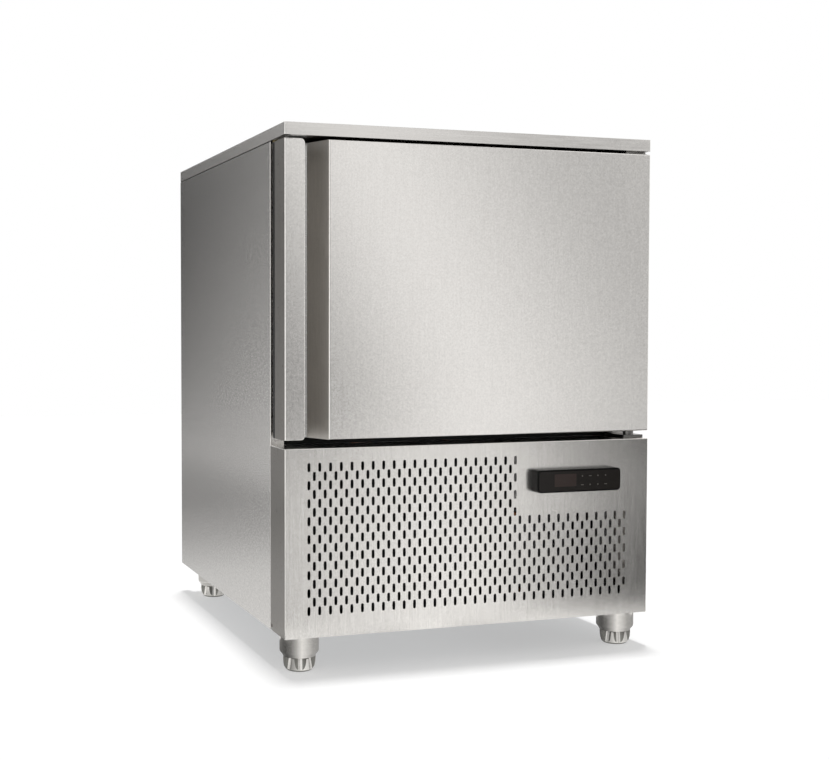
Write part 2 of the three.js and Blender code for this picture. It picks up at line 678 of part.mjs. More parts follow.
// A fan about the y axis: a hub and pitched, swept blades. y = 0 is the middle of its depth.
function fan(radius, hubRadius) {
  const half = FAN_DEPTH / 2;
  const hub = barY(0, 0, -half, half, hubRadius, 12);
  const pitch = THREE.MathUtils.degToRad(BLADE_PITCH);
  const blades = [];
  for (let i = 0; i < FAN_BLADES; i++) {
    const rootChord = FAN_DEPTH * 1.5;
    const tipChord = FAN_DEPTH * 1.75;
    const blade = new THREE.BoxGeometry(radius - hubRadius + 6, BLADE_THICKNESS, 1, 1, 1, 1);
    const at = blade.attributes.position;
    for (let v = 0; v < at.count; v++) {
      const tip = at.getX(v) > 0;
      const lean = pitch * (tip ? 0.75 : 1.2);
      const [chord, y] = [at.getZ(v) * (tip ? tipChord : rootChord), at.getY(v)];
      const sweep = tip ? FAN_DEPTH * 0.4 : 0;
      at.setY(v, y * Math.cos(lean) - chord * Math.sin(lean));
      at.setZ(v, y * Math.sin(lean) + chord * Math.cos(lean) + sweep);
      at.setX(v, tip ? Math.sqrt(radius ** 2 - at.getZ(v) ** 2) : hubRadius - 6);
    }
    blades.push(blade.rotateY((i / FAN_BLADES) * 2 * Math.PI));
  }
  return join(hub, ...blades);
}

// A motor behind a fan: can, shaft, and three arms that reach forward to the plate it hangs on.
function fanMotor(fanRadius, radius, length, plateBack) {
  const front = FAN_DEPTH / 2 + MOTOR_GAP;
  const back = front + length;
  const can = barY(0, 0, front, back, radius, 12);
  const shaft = barY(0, 0, FAN_DEPTH / 2 + FIT, front + 1, SHAFT_RADIUS, 6);
  const reach = fanRadius + FAN_TIP_GAP + ARM_WIDTH;
  const arms = [];
  for (let i = 0; i < 3; i++) {
    const spoke = block([radius - 6, back - 2 * ARM_THICKNESS, -ARM_WIDTH / 2], [reach, back - ARM_THICKNESS, ARM_WIDTH / 2]);
    const post = block([reach - ARM_THICKNESS, plateBack + FIT, -ARM_WIDTH / 2], [reach, back - ARM_THICKNESS, ARM_WIDTH / 2]);
    const turn = -Math.PI / 2 + (i / 3) * 2 * Math.PI;
    arms.push(spoke.rotateY(turn), post.rotateY(turn));
  }
  return join(can, shaft, ...arms);
}

// A wire guard: an outer ring and a middle disc tied by a cross, standing off its plate on four feet.
function fanGuard(radius) {
  const band = (bore, r) =>
    sleeve(bore, r, -GUARD_WIRE, 0, 12).applyMatrix4(STAND_UP).translate(0, -GUARD_DEPTH, 0);
  const disc = barY(0, 0, -GUARD_DEPTH, -GUARD_DEPTH + GUARD_WIRE, radius * GUARD_DISC, 10);
  const foot = radius + FAN_TIP_GAP;
  const wires = [0, 1].flatMap((i) => {
    const bar = blockAt([0, -GUARD_DEPTH + GUARD_WIRE / 2, 0], [2 * foot, GUARD_WIRE, GUARD_WIRE]);
    const feet = [-1, 1].map((side) =>
      blockAt([side * (foot - GUARD_WIRE / 2), -GUARD_DEPTH / 2, 0], [GUARD_WIRE, GUARD_DEPTH, GUARD_WIRE]));
    return [bar, ...feet].map((g) => g.rotateY(Math.PI / 4 + (i * Math.PI) / 2));
  });
  return join(band(radius - GUARD_WIRE, radius), disc, ...wires);
}

const evaporatorFanY = baffleY + SHEET + FAN_DEPTH / 2;
function fanBaffle() {
  const half = chamberHalfWidth - SIDE_INSULATION / 2;
  const [z0, z1] = [chamberFloorZ + FIT, chamberTopZ - FIT];
  const channel = block([-half, baffleY, z0], [half, baffleY + WORKTOP_RETURN, z1]);
  const hollow = block([-half - 1, baffleY + SHEET, z0 + SHEET], [half + 1, baffleY + WORKTOP_RETURN + 1, z1 - SHEET]);
  const mouthRadius = EVAPORATOR_FAN_RADIUS + FAN_TIP_GAP;
  return cut(channel, hollow, barY(0, chamberMiddleZ, baffleY - 2, baffleY + 2 * SHEET, mouthRadius, 20));
}

piece(chamber, 'fan_baffle', fanBaffle(), finish.chamberSteel);
piece(
  assembly(0, evaporatorFanY, chamberMiddleZ), 'evaporator_fan',
  fan(EVAPORATOR_FAN_RADIUS, EVAPORATOR_HUB_RADIUS), finish.blackPlastic,
);
piece(
  assembly(0, evaporatorFanY, chamberMiddleZ), 'evaporator_motor',
  fanMotor(EVAPORATOR_FAN_RADIUS, EVAPORATOR_MOTOR_RADIUS, EVAPORATOR_MOTOR_LENGTH, -FAN_DEPTH / 2),
  finish.blackLacquer,
);
piece(assembly(0, baffleY - FIT, chamberMiddleZ), 'evaporator_guard', fanGuard(EVAPORATOR_FAN_RADIUS), finish.darkSteel);

// ---------------------------------------------------------------- evaporator

// A finned pack between two end plates: a comb outline drawn up its height.
function finnedCoil(width, depth, z0, z1, plateBottom, plateTop) {
  const half = width / 2 - END_PLATE;
  const fins = Math.floor((2 * half) / FIN_STEP);
  const step = (2 * half) / fins;
  const comb = [];
  for (let i = 0; i < fins; i++) {
    const x = -half + i * step;
    comb.push([x, FIN_DEPTH], [x + step / 2, FIN_DEPTH], [x + step / 2, 0], [x + step, 0]);
  }
  comb.push([half, depth], [-half, depth]);
  const pack = upright(comb, z0, z1);
  const plates = [-1, 1].map((side) => {
    const [x0, x1] = side < 0 ? [-width / 2, -half] : [half, width / 2];
    return block([x0, 0, plateBottom], [x1, depth, plateTop]);
  });
  return join(pack, ...plates);
}

function evaporatorCoil() {
  const plateBottom = chamberFloorZ + FIT + SHEET + FIT;
  const top = chamberTopZ - EVAPORATOR_HEADROOM;
  const coil = finnedCoil(EVAPORATOR_WIDTH, EVAPORATOR_DEPTH, plateBottom + TRAY_RIM, top - END_PLATE, plateBottom, top);
  return coil.translate(0, evaporatorY, 0);
}

function dripTray() {
  const half = dripTrayHalf;
  const [y0, y1] = [evaporatorY - TRAY_MARGIN, evaporatorY + EVAPORATOR_DEPTH + TRAY_MARGIN];
  const z0 = chamberFloorZ + FIT;
  const pan = block([-half, y0, z0], [half, y1, z0 + TRAY_RIM]);
  const hollow = block([-half + SHEET, y0 + SHEET, z0 + SHEET], [half - SHEET, y1 - SHEET, z0 + 2 * TRAY_RIM]);
  const [a, b] = [z0 - SHEET, z0 + 2 * SHEET];
  return cut(pan, hollow, drainPort(DRAIN_RADIUS - DRAIN_WALL, a, b), pipePort(PIPE_PORT, a, b));
}

function drainPipe() {
  const z1 = chamberFloorZ;
  const z0 = LEG_HEIGHT - DRAIN_BELOW_BASE;
  return sleeve(DRAIN_RADIUS - DRAIN_WALL, DRAIN_RADIUS, z0, z1, 8).translate(drainX, drainY, 0);
}

piece(chamber, 'evaporator_coil', evaporatorCoil(), finish.aluminium);
piece(chamber, 'evaporator_drip_tray', dripTray(), finish.chamberSteel);
piece(chamber, 'drain_pipe', drainPipe(), finish.greyPlastic);

// ---------------------------------------------------------------- condensing unit

const unit = assembly();

function condenserCoil() {
  const coil = finnedCoil(
    CONDENSER_WIDTH, CONDENSER_DEPTH, floorZ + 2 * END_PLATE,
    floorZ + condenserHeight - 2 * END_PLATE, floorZ, floorZ + condenserHeight,
  );
  return coil.translate(condenserX, condenserY, 0);
}

// A tray behind the coil with the fan's ring in its back.
function condenserShroud() {
  const half = CONDENSER_WIDTH / 2;
  const [z0, z1] = [floorZ, floorZ + condenserHeight];
  const outside = block([condenserX - half, shroudY, z0], [condenserX + half, shroudBackY, z1]);
  const inside = block(
    [condenserX - half + SHEET, shroudY - 1, z0 + SHEET],
    [condenserX + half - SHEET, shroudBackY - SHEET, z1 - SHEET],
  );
  const mouth = barY(condenserX, condenserZ, shroudY, shroudBackY + 2, CONDENSER_FAN_RADIUS + FAN_TIP_GAP, 20);
  return cut(outside, inside, mouth);
}

// A welded hermetic shell on a foot plate with four rubber grommets. Its two stubs take the pipes.
const stubX = compressorX + COMPRESSOR_RADIUS * COMPRESSOR_OVAL * 0.8;
const dischargeStub = [compressorX - COMPRESSOR_RADIUS * 0.3, shellZ + COMPRESSOR_HEIGHT * 0.72];
const suctionStub = [stubX, shellZ + COMPRESSOR_HEIGHT * 0.93];

function compressor() {
  const [r, h] = [COMPRESSOR_RADIUS, COMPRESSOR_HEIGHT];
  const seam = h * 0.52;
  const profile = [
    [0, 0], [r * 0.82, 0], [r * 0.98, h * 0.07], [r, seam - 4], [r + 6, seam - 4], [r + 6, seam + 4],
    [r * 0.98, seam + 4], [r * 0.93, h * 0.86], [r * 0.6, h * 0.98], [0, h],
  ];
  const can = turned(profile, 12).scale(COMPRESSOR_OVAL, 1, 1).translate(compressorX, COMPRESSOR_SETBACK, shellZ);
  const [halfX, halfY] = [r * COMPRESSOR_OVAL, r * 0.92];
  const plate = block(
    [compressorX - halfX, COMPRESSOR_SETBACK - halfY, footplateZ],
    [compressorX + halfX, COMPRESSOR_SETBACK + halfY, shellZ + FOOTPLATE],
  );
  const grommets = [-1, 1].flatMap((sx) => [-1, 1].map((sy) => {
    const x = compressorX + sx * (halfX - GROMMET_RADIUS - 4);
    const y = COMPRESSOR_SETBACK + sy * (halfY - GROMMET_RADIUS - 4);
    return barZ(x, y, floorZ, footplateZ + 1, GROMMET_RADIUS, 6);
  }));
  const discharge = barY(
    dischargeStub[0], dischargeStub[1],
    COMPRESSOR_SETBACK - r - STUB_LENGTH, COMPRESSOR_SETBACK, PIPE_RADIUS, 6,
  );
  const suction = barZ(suctionStub[0], COMPRESSOR_SETBACK, shellZ + h / 2, suctionStub[1] + STUB_LENGTH, SUCTION_RADIUS, 6);
  return join(can, plate, ...grommets, discharge, suction);
}

// The terminal cover clips on the shell's front-left.
function terminalCover() {
  const y1 = COMPRESSOR_SETBACK - COMPRESSOR_RADIUS - FIT;
  const z = shellZ + COMPRESSOR_HEIGHT * 0.3;
  return block([compressorX - 46, y1 - 34, z - 32], [compressorX + 46, y1, z + 38]);
}

function liquidReceiver() {
  const [r, h] = [RECEIVER_RADIUS, RECEIVER_HEIGHT];
  const profile = [[0, 0], [r * 0.9, 0], [r, r * 0.3], [r, h - r * 0.4], [r * 0.7, h - r * 0.1], [0, h]];
  const can = turned(profile, 12).translate(receiverX, COMPRESSOR_SETBACK, floorZ);
  const outlet = barZ(receiverX + r / 2, COMPRESSOR_SETBACK, floorZ + h / 2, floorZ + h + STUB_LENGTH, PIPE_RADIUS, 6);
  const inlet = barZ(receiverX - r / 2, COMPRESSOR_SETBACK, floorZ + h / 2, floorZ + h + STUB_LENGTH, PIPE_RADIUS, 6);
  return join(can, outlet, inlet);
}

// The drier stands in the liquid line, between the receiver and the chamber.
const receiverTopZ = floorZ + RECEIVER_HEIGHT + STUB_LENGTH;
const drierX = receiverX + RECEIVER_RADIUS / 2;
const drierZ = receiverTopZ + FIT;

function filterDrier() {
  const [r, l] = [DRIER_RADIUS, DRIER_LENGTH];
  const profile = [[0, 0], [PIPE_RADIUS, 0], [PIPE_RADIUS, 6], [r, 16], [r, l - 16], [PIPE_RADIUS, l - 6], [PIPE_RADIUS, l], [0, l]];
  return turned(profile, 8).translate(drierX, COMPRESSOR_SETBACK, drierZ);
}

piece(unit, 'condenser_coil', condenserCoil(), finish.aluminium);
piece(unit, 'condenser_shroud', condenserShroud(), finish.galvanised);
piece(unit, 'compressor', compressor(), finish.blackLacquer);
piece(unit, 'compressor_terminal_cover', terminalCover(), finish.blackPlastic);
piece(unit, 'liquid_receiver', liquidReceiver(), finish.blackLacquer);
piece(unit, 'filter_drier', filterDrier(), finish.copper);

const condenserFanY = shroudBackY - FAN_DEPTH / 2 + SHEET;
piece(
  assembly(condenserX, condenserFanY, condenserZ), 'condenser_fan',
  fan(CONDENSER_FAN_RADIUS, CONDENSER_HUB_RADIUS), finish.blackPlastic,
);
piece(
  assembly(condenserX, condenserFanY, condenserZ), 'condenser_motor',
  fanMotor(CONDENSER_FAN_RADIUS, CONDENSER_MOTOR_RADIUS, CONDENSER_MOTOR_LENGTH, shroudBackY - condenserFanY),
  finish.blackLacquer,
);

// ---------------------------------------------------------------- refrigerant pipes

const coilBottomZ = chamberFloorZ + TRAY_RIM + FIT + SHEET;
const portLeft = PORT_OFFSET - PIPE_PORT / 2;
const portRight = PORT_OFFSET + PIPE_PORT / 2;
const crossingZ = doorBottomZ - PIPE_BEND - 24;

// From the evaporator down through the floor, along under the ceiling and into the shell's top.
function suctionPipe() {
  const stubTop = suctionStub[1] + STUB_LENGTH + FIT;
  return pipe([
    [portLeft, drainY, coilBottomZ], [portLeft, drainY, crossingZ], [suctionStub[0], drainY, crossingZ],
    [suctionStub[0], COMPRESSOR_SETBACK, crossingZ], [suctionStub[0], COMPRESSOR_SETBACK, stubTop],
  ], SUCTION_RADIUS, Math.min(PIPE_BEND, (crossingZ - stubTop) * 0.8));
}

// From the shell forward and across to the condenser's right end plate.
function dischargePipe() {
  const [x, z] = dischargeStub;
  const startY = COMPRESSOR_SETBACK - COMPRESSOR_RADIUS - STUB_LENGTH - FIT;
  const coilX = condenserX + CONDENSER_WIDTH / 2 + FIT;
  const laneY = startY - 2 * PIPE_BEND;
  const coilY = condenserY + CONDENSER_DEPTH / 2;
  return pipe([
    [x, startY, z], [x, laneY, z], [coilX + 2 * PIPE_BEND, laneY, z],
    [coilX + 2 * PIPE_BEND, coilY, z], [coilX, coilY, z],
  ], PIPE_RADIUS);
}

// From the condenser's foot back to the receiver's inlet.
function condensatePipe() {
  const coilX = condenserX + CONDENSER_WIDTH / 2 + FIT;
  const coilY = condenserY + CONDENSER_DEPTH / 2;
  const z = floorZ + condenserHeight * 0.14;
  const x = receiverX - RECEIVER_RADIUS / 2;
  const lane = coilX + 1.2 * PIPE_BEND;
  const overZ = Math.max(receiverTopZ + FIT + 1.6 * PIPE_BEND, dischargeStub[1] + 4 * PIPE_RADIUS);
  return pipe([
    [coilX, coilY, z], [lane, coilY, z], [lane, pipeRiseY, z], [lane, pipeRiseY, overZ],
    [x, pipeRiseY, overZ], [x, COMPRESSOR_SETBACK, overZ], [x, COMPRESSOR_SETBACK, receiverTopZ + FIT],
  ], PIPE_RADIUS);
}

// From the drier up and back through the floor port to the evaporator.
function liquidPipe() {
  const z0 = drierZ + DRIER_LENGTH + FIT;
  const bend = Math.min(PIPE_BEND, (crossingZ - z0) * 0.8);
  return pipe([
    [drierX, COMPRESSOR_SETBACK, z0], [drierX, COMPRESSOR_SETBACK, crossingZ], [portRight, COMPRESSOR_SETBACK, crossingZ],
    [portRight, drainY, crossingZ], [portRight, drainY, coilBottomZ],
  ], PIPE_RADIUS, bend);
}

piece(unit, 'suction_pipe', suctionPipe(), finish.copper);
piece(unit, 'discharge_pipe', dischargePipe(), finish.copper);
piece(unit, 'condensate_pipe', condensatePipe(), finish.copper);
piece(unit, 'liquid_pipe', liquidPipe(), finish.copper);

// ---------------------------------------------------------------- electrics

const electrics = assembly();
const boxX1 = halfWidth - BOX_SIDE_GAP;
const boxX0 = boxX1 - BOX_WIDTH;

function electricalBox() {
  const outside = block([boxX0, boxY, floorZ], [boxX1, boxY + BOX_DEPTH, floorZ + BOX_HEIGHT]);
  const inside = block(
    [boxX0 + SHEET, boxY - 1, floorZ + SHEET],
    [boxX1 - SHEET, boxY + BOX_DEPTH - SHEET, floorZ + BOX_HEIGHT - SHEET],
  );
  return cut(outside, inside);
}

function electricalBoxLid() {
  return block([boxX0, boxY - SHEET - FIT, floorZ], [boxX1, boxY - FIT, floorZ + BOX_HEIGHT]);
}

// The bezel stands proud of the vent panel, and its body passes through the panel's cut-out.
function controllerHousing() {
  const [w, h] = [CONTROLLER_WIDTH / 2, CONTROLLER_HEIGHT / 2];
  const bezel = facing(roundedRectangle(-w, -h, w, h, CONTROLLER_CORNER), -CONTROLLER_DEPTH, -FIT);
  const recess = facing(
    roundedRectangle(-w + LENS_INSET, -h + LENS_INSET, w - LENS_INSET, h - LENS_INSET, LENS_CORNER),
    -CONTROLLER_DEPTH - 1, -CONTROLLER_DEPTH + LENS_THICKNESS, 1,
  );
  const inset = MODULE_INSET + FIT;
  const module = block([-w + inset, -FIT - 1, -h + inset], [w - inset, MODULE_DEPTH, h - inset]);
  return cut(join(bezel, module), recess).translate(controllerX, 0, controllerZ);
}

function controllerLens() {
  const inset = LENS_INSET + FIT;
  const [w, h] = [CONTROLLER_WIDTH / 2 - inset, CONTROLLER_HEIGHT / 2 - inset];
  const lens = facing(
    roundedRectangle(-w, -h, w, h, LENS_CORNER - FIT),
    -CONTROLLER_DEPTH, -CONTROLLER_DEPTH + LENS_THICKNESS - FIT, 1,
  );
  return lens.translate(controllerX, 0, controllerZ);
}

// The mains inlet: a hexagonal gland in the rear cover, its cord left to the installer.
function cableGland() {
  const [x, z] = [-halfWidth + GLAND_INSET, LEG_HEIGHT + GLAND_HEIGHT];
  const nut = barY(x, z, rearCoverY + FIT, rearCoverY + FIT + GLAND_RADIUS * 0.6, GLAND_RADIUS * 1.35, 6);
  const thread = barY(x, z, rearCoverY - 14, rearCoverY + GLAND_RADIUS, GLAND_RADIUS, 8);
  const bore = barY(x, z, rearCoverY - 20, rearCoverY + 2 * GLAND_RADIUS, GLAND_RADIUS * 0.55, 8);
  return cut(join(nut, thread), bore);
}

piece(electrics, 'electrical_box', electricalBox(), finish.galvanised);
piece(electrics, 'electrical_box_lid', electricalBoxLid(), finish.galvanised);
piece(electrics, 'controller_housing', controllerHousing(), finish.blackPlastic);
piece(electrics, 'controller_lens', controllerLens(), finish.lens);
piece(electrics, 'cable_gland', cableGland(), finish.greyPlastic);

// ---------------------------------------------------------------- legs and levelling feet

const taperBottomZ = LEG_HEIGHT - LEG_STRAIGHT - LEG_TAPER;
const footTopZ = taperBottomZ - FOOT_GAP;

function leg() {
  const bore = STEM_RADIUS + FIT;
  return turned([
    [bore, taperBottomZ], [LEG_TAPER_RADIUS, taperBottomZ], [LEG_RADIUS, LEG_HEIGHT - LEG_STRAIGHT],
    [LEG_RADIUS, LEG_HEIGHT - FIT], [bore, LEG_HEIGHT - FIT], [bore, taperBottomZ],
  ], LEG_SIDES);
}

// A fluted foot: rings of alternating ribs and hollows, closed by a flat sole and a plain collar,
// with its threaded stem standing up inside the leg.
function levellingFoot() {
  const fluteTop = footTopZ - FOOT_COLLAR;
  const rings = [
    [0, FOOT_SOLE_RADIUS, 0], [fluteTop * 0.35, FOOT_RADIUS * 0.88, 1],
    [fluteTop, FOOT_RADIUS, 1], [footTopZ, FOOT_RADIUS, 0],
  ];
  const around = 2 * FLUTES;
  const positions = [];
  const index = [];
  rings.forEach(([z, r, share]) => {
    for (let i = 0; i < around; i++) {
      const a = (i / around) * 2 * Math.PI;
      const radius = i % 2 ? r - FLUTE_DEPTH * share : r;
      positions.push(radius * Math.cos(a), radius * Math.sin(a), z);
    }
  });
  const last = (rings.length - 1) * around;
  for (let ring = 0; ring < rings.length - 1; ring++) {
    for (let i = 0; i < around; i++) {
      const [a, b] = [ring * around + i, ring * around + ((i + 1) % around)];
      index.push(a, b, b + around, a, b + around, a + around);
    }
  }
  for (let i = 1; i < around - 1; i++) index.push(0, i + 1, i, last, last + i, last + i + 1);
  const body = new THREE.BufferGeometry();
  body.setAttribute('position', new THREE.Float32BufferAttribute(positions, 3));
  body.setIndex(index);
  return join(body, turned([[0, footTopZ / 2], [STEM_RADIUS, footTopZ / 2],
    [STEM_RADIUS, footTopZ + STEM_LENGTH], [0, footTopZ + STEM_LENGTH]], LEG_SIDES));
}

const legPlaces = {
  front_left: [-halfWidth + FRONT_LEG_INSET, FRONT_LEG_SETBACK],
  front_right: [halfWidth - FRONT_LEG_INSET, FRONT_LEG_SETBACK],
  rear_left: [-halfWidth + REAR_LEG_INSET, DEPTH - REAR_LEG_SETBACK],
  rear_right: [halfWidth - REAR_LEG_INSET, DEPTH - REAR_LEG_SETBACK],
};
for (const [name, [x, y]] of Object.entries(legPlaces)) {
  piece(assembly(x, y), `leg_${name}`, leg(), finish.satinSteel);
  piece(assembly(x, y), `foot_${name}`, levellingFoot(), finish.satinSteel);
}

// ---------------------------------------------------------------- hinges

const hinges = assembly();
const plateX1 = halfWidth - (HINGE_INSET * 2 - HINGE_PLATE_WIDTH) / 2 - FIT;
const plateX0 = plateX1 - HINGE_PLATE_WIDTH;

// The lower plate lies on the vent panel's top and carries the door on a collar.
function lowerHinge() {
  const z0 = ventTopZ + FIT;
  const plate = block([plateX0, HINGE_PLATE_FRONT, z0], [plateX1, bodyY - FIT, z0 + LOWER_PLATE]);
  const collar = barZ(hingeX, HINGE_SETBACK, z0 + LOWER_PLATE / 2, doorBottomZ - FIT, COLLAR_RADIUS, 12);
  const pin = barZ(hingeX, HINGE_SETBACK, z0 + LOWER_PLATE / 2, doorBottomZ + PIN_LENGTH, PIN_RADIUS, 12);
  return join(plate, collar, pin);
}

function upperHinge() {
  const z1 = worktopUnderZ - FIT;
  const plate = block([plateX0, HINGE_PLATE_FRONT, z1 - UPPER_PLATE], [plateX1, bodyY - FIT, z1]);
  const pin = barZ(hingeX, HINGE_SETBACK, doorTopZ - PIN_LENGTH, z1 - UPPER_PLATE / 2, PIN_RADIUS, 12);
  return join(plate, pin);
}

piece(hinges, 'lower_hinge', lowerHinge(), finish.darkSteel);
piece(hinges, 'upper_hinge', upperHinge(), finish.darkSteel);

// ---------------------------------------------------------------- door

// The door hangs in a group at its hinge axis; its pieces are drawn in the cabinet's own frame.
const door = assembly(hingeX, HINGE_SETBACK, 0);

function doorPiece(name, geometry, material) {
  piece(door, name, geometry, material).position.set(-hingeX, -HINGE_SETBACK, 0);
}

const linerY = DOOR_THICKNESS - LINER_THICKNESS;
const grooveRightX = -halfWidth + HANDLE_WIDTH + GROOVE_MOUTH;
const bushEnds = [[doorBottomZ, doorBottomZ + BUSH_LENGTH], [doorTopZ - BUSH_LENGTH, doorTopZ]];

// The plan of the door's main block, taken in by a wall: a leaning left side and eased edges.
function blockPlan(inset, back) {
  const lean = GROOVE_SLANT / linerY;
  const [y0, x1] = [inset, halfWidth - inset];
  const x0 = grooveRightX + inset * (Math.sqrt(1 + lean ** 2) - lean);
  const edge = Math.max(DOOR_EDGE - inset, 0.4);
  return [
    [x0 + edge, y0], [x1 - edge, y0], [x1 - edge * 0.3, y0 + edge * 0.3], [x1, y0 + edge],
    [x1, back], [x0 - lean * (back - y0), back], [x0 - lean * edge, y0 + edge], [x0 + edge * 0.25, y0 + edge * 0.25],
  ];
}

function doorSkin() {
  const outside = upright(blockPlan(0, linerY - FIT), doorBottomZ, doorTopZ);
  const inside = upright(blockPlan(SHEET, linerY + 1), doorBottomZ + SHEET, doorTopZ - SHEET);
  const holes = bushEnds.map(([z0, z1]) => barZ(hingeX, HINGE_SETBACK, z0 - 1, z1 + 1, BUSH_RADIUS + FIT, 12));
  return cut(outside, inside, ...holes);
}

function doorInsulation() {
  const gap = SHEET + FIT;
  const foam = upright(blockPlan(gap, linerY - FIT), doorBottomZ + gap, doorTopZ - gap);
  const holes = bushEnds.map(([z0, z1]) =>
    barZ(hingeX, HINGE_SETBACK, z0 - FIT, z1 + FIT, BUSH_RADIUS + FIT, 12));
  return cut(foam, ...holes);
}

// The grip: a lip and a side wall that leave room behind the lip for the fingers. The lip's front
// corners are rounded, the inner ones more than the outer.
function doorHandle() {
  const [x0, x1] = [-halfWidth, -halfWidth + HANDLE_WIDTH];
  const e = HANDLE_EDGE;
  const plan = [
    [x0 + e, 0], [x1 - e, 0], [x1 - e * 0.3, e * 0.3], [x1, e], [x1, HANDLE_LIP - e], [x1 - e, HANDLE_LIP],
    [x0 + HANDLE_WALL + e, HANDLE_LIP], [x0 + HANDLE_WALL, HANDLE_LIP + e],
    [x0 + HANDLE_WALL, linerY - FIT], [x0, linerY - FIT], [x0, e], [x0 + e * 0.3, e * 0.3],
  ];
  const bar = upright(plan, doorBottomZ, doorTopZ);
  const corners = [[doorBottomZ, 1], [doorTopZ, -1]].map(([z, up]) => {
    const r = HANDLE_CORNER;
    const shape = new THREE.Shape();
    shape.moveTo(x1 + 1, z - up);
    shape.lineTo(x1 + 1, z + up * r);
    shape.lineTo(x1, z + up * r);
    shape.absarc(x1 - r, z + up * r, r, 0, (-up * Math.PI) / 2, up > 0);
    shape.lineTo(x1 - r, z - up);
    return facing(shape, -1, HANDLE_LIP + 1);
  });
  return cut(bar, ...corners);
}

const gasketX = halfWidth - GASKET_SIDE_INSET;
const gasketZ0 = doorBottomZ + GASKET_END_INSET;
const gasketZ1 = doorTopZ - GASKET_END_INSET;

// A rectangular ring with mitred corners, from a section of [inward distance, y] points.
function mitredRing(section) {
  const corners = [[-1, -1], [1, -1], [1, 1], [-1, 1]];
  const [middleZ, halfZ] = [(gasketZ0 + gasketZ1) / 2, (gasketZ1 - gasketZ0) / 2];
  const positions = corners.flatMap(([sx, sz]) =>
    section.flatMap(([inward, y]) => [sx * (gasketX - inward), y, middleZ + sz * (halfZ - inward)]));
  const n = section.length;
  const index = [];
  corners.forEach((_, corner) => {
    const [here, next] = [corner * n, ((corner + 1) % 4) * n];
    for (let i = 0; i < n; i++) {
      const j = (i + 1) % n;
      index.push(here + i, next + j, next + i, here + i, here + j, next + j);
    }
  });
  const ring = new THREE.BufferGeometry();
  ring.setAttribute('position', new THREE.Float32BufferAttribute(positions, 3));
  ring.setIndex(index);
  return ring;
}

const dart0 = (GASKET_WIDTH - GASKET_DART) / 2;
const dart1 = dart0 + GASKET_DART;

// A dart in the liner's groove, a folded bellows and the flat magnetic face.
function doorGasket() {
  const [y0, y1] = [DOOR_THICKNESS + FIT, bodyY - FIT];
  const waist = GASKET_WIDTH * 0.18;
  const depth = y1 - y0;
  return mitredRing([
    [dart0, DOOR_THICKNESS - GASKET_DART_DEPTH], [dart0, y0], [0, y0], [0, y0 + depth * 0.22],
    [waist, y0 + depth * 0.38], [0, y0 + depth * 0.54], [0, y1], [GASKET_WIDTH, y1],
    [GASKET_WIDTH, y0 + depth * 0.54], [GASKET_WIDTH - waist, y0 + depth * 0.38],
    [GASKET_WIDTH, y0 + depth * 0.22], [GASKET_WIDTH, y0], [dart1, y0], [dart1, DOOR_THICKNESS - GASKET_DART_DEPTH],
  ]);
}

// The inner pan: a flat back with the gasket's groove and a raised field inside it.
function doorLiner() {
  const plate = block([-halfWidth, linerY, doorBottomZ], [halfWidth, DOOR_THICKNESS, doorTopZ]);
  const grooveDepth = GASKET_DART_DEPTH + FIT;
  const groove = mitredRing([
    [dart0 - FIT, DOOR_THICKNESS - grooveDepth], [dart0 - FIT, DOOR_THICKNESS + 1],
    [dart1 + FIT, DOOR_THICKNESS + 1], [dart1 + FIT, DOOR_THICKNESS - grooveDepth],
  ]);
  const inset = GASKET_WIDTH + LINER_FIELD_INSET;
  const field = facing(
    roundedRectangle(-gasketX + inset, gasketZ0 + inset, gasketX - inset, gasketZ1 - inset, CHAMBER_CORNER),
    DOOR_THICKNESS - 1, DOOR_THICKNESS + LINER_FIELD_HEIGHT,
  );
  return cut(join(plate, field), groove);
}

doorPiece('door_skin', doorSkin(), finish.satinSteel);
doorPiece('door_handle', doorHandle(), finish.satinSteel);
doorPiece('door_insulation', doorInsulation(), finish.foam);
doorPiece('door_liner', doorLiner(), finish.chamberSteel);
doorPiece('door_gasket', doorGasket(), finish.rubber);
['lower_door_bush', 'upper_door_bush'].forEach((name, i) => {
  const [z0, z1] = bushEnds[i];
  doorPiece(name, sleeve(BUSH_BORE, BUSH_RADIUS, z0, z1, 12).translate(hingeX, HINGE_SETBACK, 0), finish.nylon);
});

export default chiller;
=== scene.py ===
"""An under-counter blast chiller in satin stainless steel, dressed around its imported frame.

The CAD nodes give every place and size. The pieces that show are modelled here again with the
folds, rounded slots and smooth turning of the real machine, and what lies inside keeps its CAD
mesh with the finish of the real material. Lengths in the classes are millimetres unless said.
"""

from __future__ import annotations

import json
import logging
import math
from collections.abc import Callable, Iterable, Iterator, Sequence
from contextlib import contextmanager
from dataclasses import dataclass, replace
from enum import Enum

import bmesh
import bpy
from mathutils import Matrix, Vector

